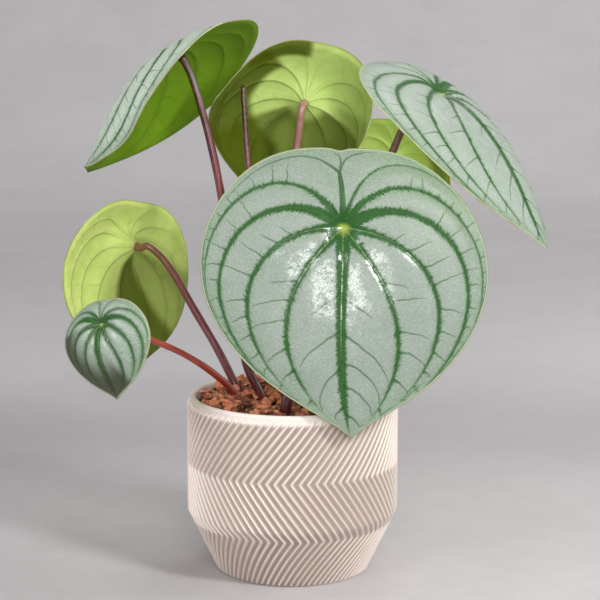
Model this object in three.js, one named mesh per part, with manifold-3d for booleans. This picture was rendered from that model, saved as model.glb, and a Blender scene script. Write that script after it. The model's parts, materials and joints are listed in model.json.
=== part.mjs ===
// Potted peperomia: a chevron-ribbed pot, potting mix, bark mulch, a short crown with roots,
// seven peltate leaves on long stalks and one young flower spike.
// Millimetres, +Z up. The origin is the centre of the pot's flat underside.

import * as THREE from "three";
import { mergeVertices } from "three/addons/utils/BufferGeometryUtils.js";
import Module from "manifold-3d";

const wasm = await Module();
wasm.setup();

// ---- Driving dimensions ---------------------------------------------------------------------

const GAP = 0.35; // clearance between neighbouring pieces
const OVERSHOOT = 5; // how far a cutting solid reaches past the face that it cuts
const DEGREE = Math.PI / 180;

const POT = {
  height: 80,
  radius: 47.5, // over the rib crests, above the shoulder
  baseRadius: 34.2,
  footBevel: 0.9,
  footRibDepth: 0.4, // what is left of the ribs on the edge of the underside
  shoulder: 28, // height where the taper ends
  ribs: 82,
  ribDepth: 1.0,
  lowerChevron: 23.5, // height of the line where the ribs turn
  upperChevron: 49.9,
  ribTop: 77,
  ribFade: 1.6, // height over which the ribs run out below ribTop
  rimRadius: 46,
  innerRadius: 43.3,
  floor: 5,
  innerFloorRadius: 31.5,
  rimRound: 0.8,
  hollowSegments: 48,
  slants: [0.35, -0.4, 0.44], // how far the ribs turn round the pot in each band, in radians
};

const MIX = { top: 67.5, corner: 3, segments: 36 }; // corner: height of its slanted shoulder
const MULCH = {
  bottom: 68,
  top: 72.5,
  heap: 3.2, // how much higher the bed is in the middle
  segments: 40,
  chips: 44,
  seed: 11,
  length: [8, 12],
  width: [5, 8],
  depth: [3, 4.5],
  tilt: 0.45, // the most that a chip tips either way, in radians
  lift: 1.6, // how far the highest chip's middle stands over the bed
  wallRoom: 3.5, // from the wall to the middle of the outermost chip
  turn: 2.39996, // from one chip to the next round the pot, in radians
};
const CROWN = {
  x: -7, y: -1, radius: 12, bottom: 45, top: 60, // of the body, whose lower end tapers
  taperHeight: 5, taperShare: 0.6, segments: 20,
  roots: 5, rootRadius: 1.1, rootBaseRadius: 1.76, rootSpread: 30, rootStart: 4, rootFall: 26,
  rootCurve: 1.4, rootTurn: 0.4, rootShares: [0.15, 0.5, 0.8],
};

const LEAF = {
  thickness: 0.9,
  // Outline: distance from the stalk to the margin by direction, as a share of the tip distance.
  outline: [0.6484, 0.2366, -0.0171, 0.0057, 0.0019, 0.0052, 0.0009],
  tipPoint: 0.1336,
  tipSharpness: 0.16,
  halfWidth: 0.73,
  veins: [0, 37, 70, 116, 148, 172], // directions in which the veins leave the stalk, degrees
  veinSweep: 0.9, // how far they bend toward the tip on their way out
  columnsPerCell: 3,
  rings: [0.15, 0.38, 0.62, 0.84, 1],
  midribSteps: 12,
  normalStep: 0.3,
  puff: 0.6, // how far the blade rises between veins, as a share of how far it sinks along them
  dimpleWidth: 7,
};

// Each leaf hangs from the top of its stalk (at). Its tip points along heading (0 is +X, 90 is
// +Y) and droop degrees below the horizon, and roll turns the blade about that line. tip is the
// distance from stalk to tip; broad and back scale the width and the part behind the stalk. The
// bends are in radians at the tip, the back and the two side margins.
const LEAVES = [
  { name: "front", at: [21.7, -35, 160.4], heading: -82.1, droop: 72.3, roll: -6.3, tip: 89,
    broad: 1, back: 1, tipBend: 0.28, backBend: 0.25, curl: 0, leftBend: 0.3, rightBend: 0.3,
    bendGrowth: 0, twist: 0, quilt: 0.25, dimple: 2.2 },
  { name: "upper_left", at: [-49.9, 4.9, 232.4], heading: 146.8, droop: 30.3, roll: 3.1, tip: 77.3,
    broad: 0.98, back: 0.98, tipBend: 0.96, backBend: 0.33, curl: -0.97, leftBend: 0.34,
    rightBend: 1.08, bendGrowth: 0.7, twist: 0.1, quilt: 0.25, dimple: 2 },
  { name: "centre_back", at: [5.9, 38.6, 207.3], heading: 136, droop: 70.7, roll: -54.7, tip: 51.7,
    broad: 1.26, back: 1.51, tipBend: 0.69, backBend: 0.35, curl: 0.03, leftBend: 1.12,
    rightBend: 0.9, bendGrowth: -0.05, twist: 0.36, quilt: 0.25, dimple: 2 },
  { name: "upper_right", at: [65.1, 5.1, 214.8], heading: -33.7, droop: 31.4, roll: 3.9, tip: 84.7,
    broad: 1.03, back: 0.85, tipBend: 0.79, backBend: 0.49, curl: -0.35, leftBend: 0.13,
    rightBend: 0.66, bendGrowth: 0.51, twist: -0.05, quilt: 0.25, dimple: 2 },
  { name: "back_right", at: [47, 42.1, 181.1], heading: 75.6, droop: 84.7, roll: -17, tip: 47.4,
    broad: 0.96, back: 1.02, tipBend: 0.26, backBend: 0.29, curl: -0.02, leftBend: 0.3,
    rightBend: 0.3, bendGrowth: 0, twist: 0, quilt: 0.2, dimple: 1.5 },
  { name: "left", at: [-72.4, 21.9, 143.6], heading: -146.4, droop: 76.7, roll: -73, tip: 57.8,
    broad: 1, back: 0.91, tipBend: 0.36, backBend: 0.13, curl: 0.63, leftBend: -0.07,
    rightBend: 0.02, bendGrowth: 0, twist: 0.18, quilt: 0.2, dimple: 2 },
  { name: "small_front", at: [-82.2, -36.2, 118.8], heading: -105.9, droop: 64.4, roll: -27.9,
    tip: 34.1, broad: 1.12, back: 0.87, tipBend: 1.25, backBend: 0.95, curl: -0.72,
    leftBend: 0.24, rightBend: 0.36, bendGrowth: 0.09, twist: -0.03, quilt: 0.6, dimple: 1.5 },
];

// Stalks, from the crown's top up through the mulch. A leaf's stalk ends under its blade, so its
// list stops short of that and the end is worked out from the leaf.
const STALKS = [
  { name: "front", radii: [2.6, 1.9], route: [[-5, -9.5], [-3.6, -24, 68], [-3.2, -31, 79],
    [1.5, -29, 99], [8, -24, 122], [15, -19.5, 142]], bend: 12 },
  { name: "upper_left", radii: [2.1, 1.6], route: [[-10.5, -3], [-11.6, -3.6, 68],
    [-14.1, -3.8, 79.5], [-20.3, -3, 93.5], [-24.2, -1.4, 120.9], [-28.1, 0.1, 148.1],
    [-31.7, 1.4, 170.9], [-35, 2.4, 187.8], [-39.9, 3.6, 207.3], [-44.9, 4.5, 222.9]], bend: 0 },
  { name: "centre_back", radii: [2, 1.7], route: [[-6, 7.5], [-7.6, 10, 68], [-8.4, 12, 80.9],
    [-7.9, 18.1, 109.9], [-5.6, 21, 141.2], [-2, 26, 168], [2.1, 31.5, 187.8]], bend: 6 },
  { name: "upper_right", radii: [2, 1.6], route: [[1, -1], [2, 0.5, 68], [3.4, 2, 80],
    [12.4, 2.5, 103.7], [25.7, 3.2, 135.4], [36.7, 3.8, 166.7], [44.7, 4.3, 188.9],
    [50.5, 4.7, 200.5]], bend: 6 },
  { name: "back_right", radii: [1.9, 1.5], route: [[0.5, 5], [0.8, 9, 68], [1.2, 14, 81],
    [12.7, 23, 113.6], [26.5, 31, 144.7], [37, 34.5, 166]], bend: 6 },
  { name: "left", radii: [2, 1.6], route: [[-14, 4], [-19, 10, 68], [-25.3, 14.5, 79],
    [-33.6, 16.1, 95.7], [-44.9, 18.1, 115.2], [-53.4, 18.4, 130.4], [-60.2, 18, 139.8],
    [-66, 17.6, 144.2]], bend: 2.4 },
  { name: "small_front", radii: [1.8, 1.1], route: [[-15.5, -4.5], [-18.5, -4.6, 68],
    [-25.2, -4.6, 80.2], [-33.9, -9, 90.1], [-47.3, -16.4, 101], [-61.2, -23.5, 109.1],
    [-71.5, -29, 114.8]], bend: 3 },
];
const SPIKE = { radii: [2.1, 1.1], route: [[-5, 1.5], [-4.6, 2.2, 68], [-4.3, 3, 79.7],
  [-6.9, 4.8, 94.1], [-11, 7.6, 116.5], [-15.9, 11.5, 147.7], [-19.6, 15.4, 179.6],
  [-21.3, 18.4, 203.3], [-22.1, 20, 216.6]] };
const STALK_SIDES = 6;
const STALK_STEPS = 12;
const ROOT_STEPS = 5;
const FOOT_SINK = 1; // how far the solids that cut the mix reach below the stalks' feet

const COLOURS = {
  pot: "#d9c5b6", mix: "#3a2a20", mulch: "#8a4f35", crown: "#8d8a5a",
  blade: "#9dbba0", stalk: "#7b3a3c", spike: "#5a2f2c",
};
const ROUGHNESS = { pot: 0.45, mix: 0.95, mulch: 0.85, crown: 0.7, blade: 0.4, stalk: 0.5 };

// ---- Small helpers --------------------------------------------------------------------------

const clamp = THREE.MathUtils.clamp;
const lerp = THREE.MathUtils.lerp;

function random(seed) {
  let state = seed;
  return () => {
    state = (state * 1664525 + 1013904223) % 4294967296;
    return state / 4294967296;
  };
}

function geometryOf(vertices, triangles) {
  const geometry = new THREE.BufferGeometry();
  geometry.setAttribute("position", new THREE.Float32BufferAttribute(vertices.flat(), 3));
  geometry.setIndex(triangles.flat());
  return geometry;
}

function solid(geometry) {
  const bare = geometry.clone();
  bare.deleteAttribute("normal");
  bare.deleteAttribute("uv");
  const merged = mergeVertices(bare, 1e-4);
  return new wasm.Manifold(new wasm.Mesh({
    numProp: 3,
    vertProperties: merged.getAttribute("position").array,
    triVerts: new Uint32Array(merged.getIndex().array),
  }));
}

function geometryFrom(manifold) {
  const mesh = manifold.getMesh();
  const geometry = new THREE.BufferGeometry();
  geometry.setAttribute("position", new THREE.BufferAttribute(mesh.vertProperties, 3));
  geometry.setIndex(new THREE.BufferAttribute(mesh.triVerts, 1));
  return geometry;
}

// The largest body of a cut solid: a scrap that a cut leaves loose is dropped.
function largest(manifold) {
  const bodies = manifold.decompose();
  return bodies.reduce((best, one) => (one.volume() > best.volume() ? one : best));
}

function meshOf(name, geometry, colour, roughness) {
  const material = new THREE.MeshStandardMaterial({ color: colour, roughness, metalness: 0 });
  const mesh = new THREE.Mesh(geometry, material);
  mesh.name = name;
  return mesh;
}

// A solid of revolution about Z from [radius, height] pairs that start and end on the axis.
function turned(profile, segments) {
  const points = profile.map(([radius, height]) => new THREE.Vector2(radius, height));
  return new THREE.LatheGeometry(points, segments).rotateX(Math.PI / 2);
}

// A closed skin over rows of equal rings, with a fan at each end.
function skin(rings) {
  const count = rings[0].length;
  const vertices = rings.flat();
  const triangles = [];
  for (let row = 0; row + 1 < rings.length; row++) {
    for (let i = 0; i < count; i++) {
      const a = row * count + i;
      const b = row * count + ((i + 1) % count);
      triangles.push([a, b, b + count], [a, b + count, a + count]);
    }
  }
  for (const [row, flip] of [[0, true], [rings.length - 1, false]]) {
    const centre = [0, 1, 2].map((k) => rings[row].reduce((sum, p) => sum + p[k], 0) / count);
    vertices.push(centre);
    for (let i = 0; i < count; i++) {
      const a = row * count + i;
      const b = row * count + ((i + 1) % count);
      triangles.push(flip ? [b, a, vertices.length - 1] : [a, b, vertices.length - 1]);
    }
  }
  return geometryOf(vertices, triangles);
}

// ---- Pot ------------------------------------------------------------------------------------

function potRadius(height) {
  if (height >= POT.shoulder) {
    return POT.radius;
  }
  return lerp(POT.baseRadius, POT.radius, height / POT.shoulder);
}

// How far round the ribs have turned at a height, in radians.
function ribTurn(height) {
  const lines = [0, POT.lowerChevron, POT.upperChevron, POT.ribTop];
  let turn = 0;
  POT.slants.forEach((slant, band) => {
    const share = (height - lines[band]) / (lines[band + 1] - lines[band]);
    turn += slant * clamp(share, 0, 1);
  });
  return turn;
}

function pot() {
  const foot = POT.footBevel;
  const rows = [
    { height: 0, radius: POT.baseRadius - foot, depth: POT.footRibDepth },
    { height: foot, radius: potRadius(foot), depth: POT.ribDepth },
    ...[POT.lowerChevron / 2, POT.lowerChevron, POT.shoulder, (POT.shoulder + POT.upperChevron) / 2,
      POT.upperChevron, (POT.upperChevron + POT.ribTop) / 2, POT.ribTop - POT.ribFade].map((height) => (
      { height, radius: potRadius(height), depth: POT.ribDepth })),
    { height: POT.ribTop, radius: POT.rimRadius, depth: 0 },
    { height: POT.height - POT.rimRound, radius: POT.rimRadius, depth: 0 },
    { height: POT.height, radius: POT.rimRadius - POT.rimRound, depth: 0 },
  ];
  const columns = POT.ribs * 2;
  const rings = rows.map(({ height, radius, depth }) => {
    const ring = [];
    for (let i = 0; i < columns; i++) {
      const angle = (i / columns) * 2 * Math.PI + ribTurn(height);
      const reach = radius - (i % 2 ? depth : 0);
      ring.push([reach * Math.cos(angle), reach * Math.sin(angle), height]);
    }
    return ring;
  });
  const mouth = POT.innerRadius + POT.rimRound;
  const hollow = turned([
    [0, POT.floor], [POT.innerFloorRadius, POT.floor], [POT.innerRadius, POT.shoulder],
    [POT.innerRadius, POT.height - POT.rimRound], [mouth, POT.height],
    [mouth, POT.height + OVERSHOOT], [0, POT.height + OVERSHOOT],
  ], POT.hollowSegments);
  return geometryFrom(solid(skin(rings)).subtract(solid(hollow)));
}

// ---- Leaves ---------------------------------------------------------------------------------

function axesOf({ heading, droop, roll }) {
  const h = heading * DEGREE;
  const d = droop * DEGREE;
  const tip = new THREE.Vector3(Math.cos(d) * Math.cos(h), Math.cos(d) * Math.sin(h), -Math.sin(d));
  const level = new THREE.Vector3(Math.sin(d) * Math.cos(h), Math.sin(d) * Math.sin(h), Math.cos(d));
  const up = level.applyAxisAngle(tip, -roll * DEGREE);
  return { tip, up, side: new THREE.Vector3().crossVectors(up, tip) };
}

function outlineReach(angle) {
  const round = LEAF.outline.reduce((sum, share, k) => sum + share * Math.cos(k * angle), 0);
  const point = LEAF.tipPoint * Math.exp((-2 * Math.abs(Math.sin(angle / 2))) / LEAF.tipSharpness);
  return round + point;
}

// Walks the bent midrib from the stalk to the flat distance u (a share of the tip distance).
function midrib(leaf, u) {
  const steps = LEAF.midribSteps;
  const bendAt = (v) => (v > 0 ? leaf.tipBend * v + leaf.curl * v ** 4 : leaf.backBend * v);
  let along = 0;
  let down = 0;
  for (let i = 0; i < steps; i++) {
    const angle = bendAt((u * (i + 0.5)) / steps);
    along += (Math.cos(angle) * u) / steps;
    down += (Math.sin(angle) * u) / steps;
  }
  return { along: along * leaf.tip, down: down * leaf.tip, angle: bendAt(u) };
}

// The blade's upper face before its relief, at flat coordinates x (to the tip) and y (across).
function bladePoint(leaf, axes, x, y) {
  const u = x / leaf.tip;
  const spine = midrib(leaf, u);
  const width = LEAF.halfWidth * leaf.tip;
  const bend = (y > 0 ? leaf.rightBend : leaf.leftBend) * (1 + leaf.bendGrowth * u) || 1e-4;
  const turn = (bend * Math.abs(y)) / width;
  const across = (Math.sign(y) * width * Math.sin(turn)) / bend;
  const sink = (-width * (1 - Math.cos(turn))) / bend;
  const twist = leaf.twist * u;
  const side = across * Math.cos(twist) - sink * Math.sin(twist);
  const rise = across * Math.sin(twist) + sink * Math.cos(twist);
  return new THREE.Vector3(...leaf.at)
    .addScaledVector(axes.tip, spine.along + rise * Math.sin(spine.angle))
    .addScaledVector(axes.up, -spine.down + rise * Math.cos(spine.angle))
    .addScaledVector(axes.side, side);
}

function bladeNormal(leaf, axes, x, y) {
  const step = LEAF.normalStep;
  const alongTip = bladePoint(leaf, axes, x + step, y).sub(bladePoint(leaf, axes, x - step, y));
  const alongSide = bladePoint(leaf, axes, x, y + step).sub(bladePoint(leaf, axes, x, y - step));
  return alongTip.cross(alongSide).normalize();
}

// Directions of the columns of the blade's grid: one on each vein, the rest between them.
function columnDirections() {
  const right = LEAF.veins.map((degrees) => degrees * DEGREE);
  const left = right.slice(1).reverse().map((angle) => 2 * Math.PI - angle);
  const veins = [...right, ...left, 2 * Math.PI];
  const columns = [];
  for (let cell = 0; cell + 1 < veins.length; cell++) {
    for (let k = 0; k < LEAF.columnsPerCell; k++) {
      const direction = lerp(veins[cell], veins[cell + 1], k / LEAF.columnsPerCell);
      columns.push({ direction, onVein: k === 0 });
    }
  }
  return columns;
}

function blade(leaf) {
  const axes = axesOf(leaf);
  const columns = columnDirections();
  const faces = [[], []];
  const place = (x, y, lift) => {
    const point = bladePoint(leaf, axes, x, y);
    const normal = bladeNormal(leaf, axes, x, y);
    const dimple = leaf.dimple * Math.exp(-(x * x + y * y) / LEAF.dimpleWidth ** 2);
    faces[0].push(point.clone().addScaledVector(normal, lift - dimple).toArray());
    faces[1].push(point.addScaledVector(normal, lift - dimple - LEAF.thickness).toArray());
  };
  place(0, 0, 0);
  for (const share of LEAF.rings) {
    const sweep = Math.exp(-LEAF.veinSweep * share * share);
    for (const { direction, onVein } of columns) {
      const half = direction / 2;
      const angle = 2 * Math.atan2(sweep * Math.sin(half), Math.cos(half));
      const reach = share * leaf.tip * outlineReach(angle);
      const x = reach * Math.cos(angle);
      const y = reach * Math.sin(angle) * leaf.broad;
      const lift = leaf.quilt * (onVein ? -1 : LEAF.puff) * Math.sin(Math.PI * share);
      place(x < 0 ? x * leaf.back : x, y, lift);
    }
  }
  const count = columns.length;
  const size = faces[0].length;
  const triangles = [];
  const pair = (a, b, c) => triangles.push([a, b, c], [size + a, size + c, size + b]);
  for (let i = 0; i < count; i++) {
    const j = (i + 1) % count;
    pair(0, 1 + i, 1 + j);
    for (let ring = 0; ring + 1 < LEAF.rings.length; ring++) {
      const inner = 1 + ring * count;
      const outer = inner + count;
      pair(inner + i, outer + i, outer + j);
      pair(inner + i, outer + j, inner + j);
    }
    const rim = size - count;
    triangles.push([rim + i, size + rim + i, size + rim + j], [rim + i, size + rim + j, rim + j]);
  }
  return geometryOf([...faces[0], ...faces[1]], triangles);
}

// ---- Stalks ---------------------------------------------------------------------------------

// A tapered tube along a smooth curve. foot and head are the normals of the planes that its two
// ends are cut to, and sunk carries the foot straight down from there.
function tube(points, radii, { extra = 0, sunk = 0, foot, head, steps = STALK_STEPS } = {}) {
  const curve = new THREE.CatmullRomCurve3(points, false, "centripetal");
  const frames = curve.computeFrenetFrames(steps, false);
  const rings = [];
  for (let step = 0; step <= steps; step++) {
    const share = step / steps;
    const centre = curve.getPointAt(share);
    const tangent = frames.tangents[step];
    const cut = step === 0 ? foot : step === steps ? head : null;
    const radius = lerp(radii[0], radii[1], share) + extra;
    const ring = [];
    for (let i = 0; i < STALK_SIDES; i++) {
      const angle = (i / STALK_SIDES) * 2 * Math.PI;
      const arm = new THREE.Vector3()
        .addScaledVector(frames.normals[step], radius * Math.cos(angle))
        .addScaledVector(frames.binormals[step], radius * Math.sin(angle));
      if (cut) {
        arm.addScaledVector(tangent, -arm.dot(cut) / tangent.dot(cut));
      }
      ring.push(arm.add(centre).toArray());
    }
    if (step === 0 && sunk > 0) {
      rings.push(ring.map(([x, y, z]) => [x, y, z - sunk]));
    }
    rings.push(ring);
  }
  return skin(rings);
}

function routePoints(route) {
  const seat = CROWN.top + GAP;
  return route.map(([x, y, z]) => new THREE.Vector3(x, y, z ?? seat));
}

function stalkOf(stalk) {
  const leaf = LEAVES.find(({ name }) => name === stalk.name);
  const { up } = axesOf(leaf);
  const under = leaf.dimple + LEAF.thickness + GAP;
  const joint = new THREE.Vector3(...leaf.at).addScaledVector(up, -under);
  const points = routePoints(stalk.route);
  if (stalk.bend > 0) {
    points.push(joint.clone().addScaledVector(up, -stalk.bend));
  }
  points.push(joint);
  return { name: `stalk_${stalk.name}`, points, radii: stalk.radii, foot: LEVEL, head: up };
}

const LEVEL = new THREE.Vector3(0, 0, 1);
const stems = [
  ...STALKS.map(stalkOf),
  { name: "flower_spike", points: routePoints(SPIKE.route), radii: SPIKE.radii, foot: LEVEL },
];

// The same tubes made a little fatter, which the mix and the mulch are cut by.
const clearance = stems
  .map(({ points, radii, foot }) => solid(tube(points, radii, { extra: GAP, sunk: FOOT_SINK, foot })))
  .reduce((all, one) => all.add(one));

// ---- Crown, mix and mulch -------------------------------------------------------------------

function crownBody(extra) {
  const { x, y, radius, bottom, top } = CROWN;
  const body = turned([
    [0, bottom - extra], [radius * CROWN.taperShare + extra, bottom - extra],
    [radius + extra, bottom + CROWN.taperHeight], [radius + extra, top + extra], [0, top + extra],
  ], CROWN.segments).translate(x, y, 0);
  let whole = solid(body);
  for (let i = 0; i < CROWN.roots; i++) {
    const angle = (i / CROWN.roots) * 2 * Math.PI + CROWN.rootTurn;
    const root = CROWN.rootShares.map((share) => new THREE.Vector3(
      x + Math.cos(angle) * CROWN.rootSpread * share,
      y + Math.sin(angle) * CROWN.rootSpread * share,
      bottom + CROWN.rootStart - CROWN.rootFall * share ** CROWN.rootCurve,
    ));
    const radii = [CROWN.rootBaseRadius, CROWN.rootRadius];
    whole = whole.add(solid(tube(root, radii, { extra, steps: ROOT_STEPS })));
  }
  return whole;
}

function mix() {
  const wall = POT.innerRadius - GAP;
  const body = turned([
    [0, POT.floor + GAP], [POT.innerFloorRadius - 2 * GAP, POT.floor + GAP],
    [wall - GAP, POT.shoulder], [wall, POT.shoulder + MIX.corner], [wall, MIX.top], [0, MIX.top],
  ], MIX.segments);
  return geometryFrom(solid(body).subtract(crownBody(GAP)).subtract(clearance));
}

// A box whose corners are drawn in or out at random.
function chip(length, width, depth, draw) {
  const box = new THREE.BoxGeometry(length, width, depth);
  box.deleteAttribute("normal");
  box.deleteAttribute("uv");
  const merged = mergeVertices(box);
  const corners = merged.getAttribute("position");
  for (let i = 0; i < corners.count; i++) {
    const across = lerp(0.65, 1.05, draw());
    const along = lerp(0.65, 1.05, draw());
    const up = lerp(0.7, 1.2, draw());
    corners.setXYZ(i, corners.getX(i) * across, corners.getY(i) * along, corners.getZ(i) * up);
  }
  return merged;
}

function mulch() {
  const { bottom, top, heap, chips, tilt } = MULCH;
  const draw = random(MULCH.seed);
  const wall = POT.innerRadius - GAP;
  let body = solid(turned([
    [0, bottom], [wall, bottom], [wall, top], [wall / 2, top + heap * 0.8], [0, top + heap],
  ], MULCH.segments));
  for (let i = 0; i < chips; i++) {
    const share = Math.sqrt((i + 0.5) / chips);
    const angle = i * MULCH.turn + draw() / 2;
    const reach = share * (wall - MULCH.wallRoom);
    const surface = top + heap * (1 - share * share);
    const sizes = [MULCH.length, MULCH.width, MULCH.depth].map(([least, most]) => lerp(least, most, draw()));
    const piece = chip(...sizes, draw);
    piece.rotateX(lerp(-tilt, tilt, draw())).rotateY(lerp(-tilt, tilt, draw()));
    piece.rotateZ(draw() * 2 * Math.PI);
    piece.translate(reach * Math.cos(angle), reach * Math.sin(angle), surface + MULCH.lift * draw());
    body = body.add(solid(piece));
  }
  const well = solid(turned([
    [0, bottom - OVERSHOOT], [wall, bottom - OVERSHOOT], [wall, POT.height + OVERSHOOT],
    [0, POT.height + OVERSHOOT],
  ], MULCH.segments));
  return geometryFrom(largest(body.intersect(well).subtract(clearance)));
}

// ---- The whole plant ------------------------------------------------------------------------

const plant = new THREE.Group();
plant.name = "potted_peperomia";
plant.add(meshOf("pot", pot(), COLOURS.pot, ROUGHNESS.pot));
plant.add(meshOf("potting_mix", mix(), COLOURS.mix, ROUGHNESS.mix));
plant.add(meshOf("bark_mulch", mulch(), COLOURS.mulch, ROUGHNESS.mulch));
plant.add(meshOf("crown_and_roots", geometryFrom(crownBody(0)), COLOURS.crown, ROUGHNESS.crown));
for (const leaf of LEAVES) {
  plant.add(meshOf(`leaf_${leaf.name}`, blade(leaf), COLOURS.blade, ROUGHNESS.blade));
}
for (const { name, points, radii, foot, head } of stems) {
  const colour = name === "flower_spike" ? COLOURS.spike : COLOURS.stalk;
  plant.add(meshOf(name, tube(points, radii, { foot, head }), colour, ROUGHNESS.stalk));
}

export default plant;
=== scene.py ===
import json
import math
import random

import bpy
import numpy as np
from bpy.props import FloatProperty, FloatVectorProperty, IntProperty, PointerProperty
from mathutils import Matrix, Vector

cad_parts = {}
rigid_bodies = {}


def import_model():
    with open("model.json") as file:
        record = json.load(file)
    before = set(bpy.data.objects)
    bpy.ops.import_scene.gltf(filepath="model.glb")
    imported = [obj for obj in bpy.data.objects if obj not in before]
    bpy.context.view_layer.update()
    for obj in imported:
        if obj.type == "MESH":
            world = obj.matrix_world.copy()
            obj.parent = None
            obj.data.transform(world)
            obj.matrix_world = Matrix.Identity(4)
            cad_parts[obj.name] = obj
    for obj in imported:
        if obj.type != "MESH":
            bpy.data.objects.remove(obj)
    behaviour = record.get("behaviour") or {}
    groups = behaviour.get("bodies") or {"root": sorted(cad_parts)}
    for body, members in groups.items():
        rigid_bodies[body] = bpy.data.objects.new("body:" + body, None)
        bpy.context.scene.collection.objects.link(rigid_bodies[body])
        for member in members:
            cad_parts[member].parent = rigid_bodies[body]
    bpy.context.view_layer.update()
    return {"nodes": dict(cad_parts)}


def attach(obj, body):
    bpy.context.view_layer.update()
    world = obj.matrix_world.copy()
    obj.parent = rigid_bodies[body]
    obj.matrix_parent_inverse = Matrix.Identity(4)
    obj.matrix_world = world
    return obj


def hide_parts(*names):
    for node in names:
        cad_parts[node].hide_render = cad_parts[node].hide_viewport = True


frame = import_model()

bl_info = {
    "name": "Potted peperomia",
    "version": (1, 0, 0),
    "blender": (4, 5, 0),
    "location": "View3D > Sidebar > Peperomia",
    "description": "Dresses a potted peperomia: ribbed pot, bark, veined leaves, stalks and spike",
    "category": "Add Mesh",
}

MM = 0.001  # the frame is in metres, and the sizes below are in millimetres
BODY = "root"

# ---- The plant's measures -------------------------------------------------------------------

POT = {
    "radius": 47.5, "base_radius": 34.2, "shoulder": 28, "ribs": 82,
    "lines": [0, 23.5, 49.9, 77], "slants": [0.35, -0.4, 0.44],
    "rim_radius": 46, "inner_radius": 43.3, "floor": 5, "inner_floor_radius": 31.5,
}

# How far the outline reaches from the stalk in each direction: a cosine series, as shares of
# the distance to the tip, and a narrow term for the point.
OUTLINE = [0.6484, 0.2366, -0.0171, 0.0057, 0.0019, 0.0052, 0.0009]
TIP_POINT, TIP_SHARPNESS = 0.1336, 0.16
HALF_WIDTH = 0.73

# The directions, in degrees, in which the main veins leave the stalk, from the back of the
# left half to the back of the right half. Cells between veins are counted by these.
VEINS = [-176, -152, -122, -80, -39, 0, 39, 80, 122, 152, 176]
FRONT_VEINS = [-176, -155.2, -128.4, -87.6, -45.4, -4.4, 33.4, 74.1, 118.6, 148.9, 168]

# The front leaf's backmost vein runs up the middle and forks: a trunk, the left and the right
# branch and a small one between them. Points are directions in degrees and shares of the way to
# the margin. Sides are the signs that distances to a branch take on its right and on its left,
# which agree wherever two branches meet.
FORK = [
    dict(sides=(1, 1), points=[(-180, 0.03), (-180, 0.33), (-179.5, 0.51), (-178.2, 0.683)]),
    dict(sides=(-1, 1), points=[
        (-178.2, 0.683), (-171, 0.752), (-163, 0.847), (-153.2, 0.901), (-143.8, 0.916),
        (-134.8, 0.926), (-124, 0.936), (-115.2, 0.941), (-107.2, 0.95)]),
    dict(sides=(1, -1), points=[
        (-178.2, 0.683), (-181.2, 0.787), (-184.2, 0.851), (-190.2, 0.906), (-198.5, 0.95),
        (-206.5, 0.96)]),
    dict(sides=(-1, -1), points=[(-179.4, 0.75), (-180.6, 0.83), (-179.5, 0.926), (-176.2, 0.946)]),
]
FORK_CELLS = (-6, -5, 5)
CELLS = 11

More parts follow.
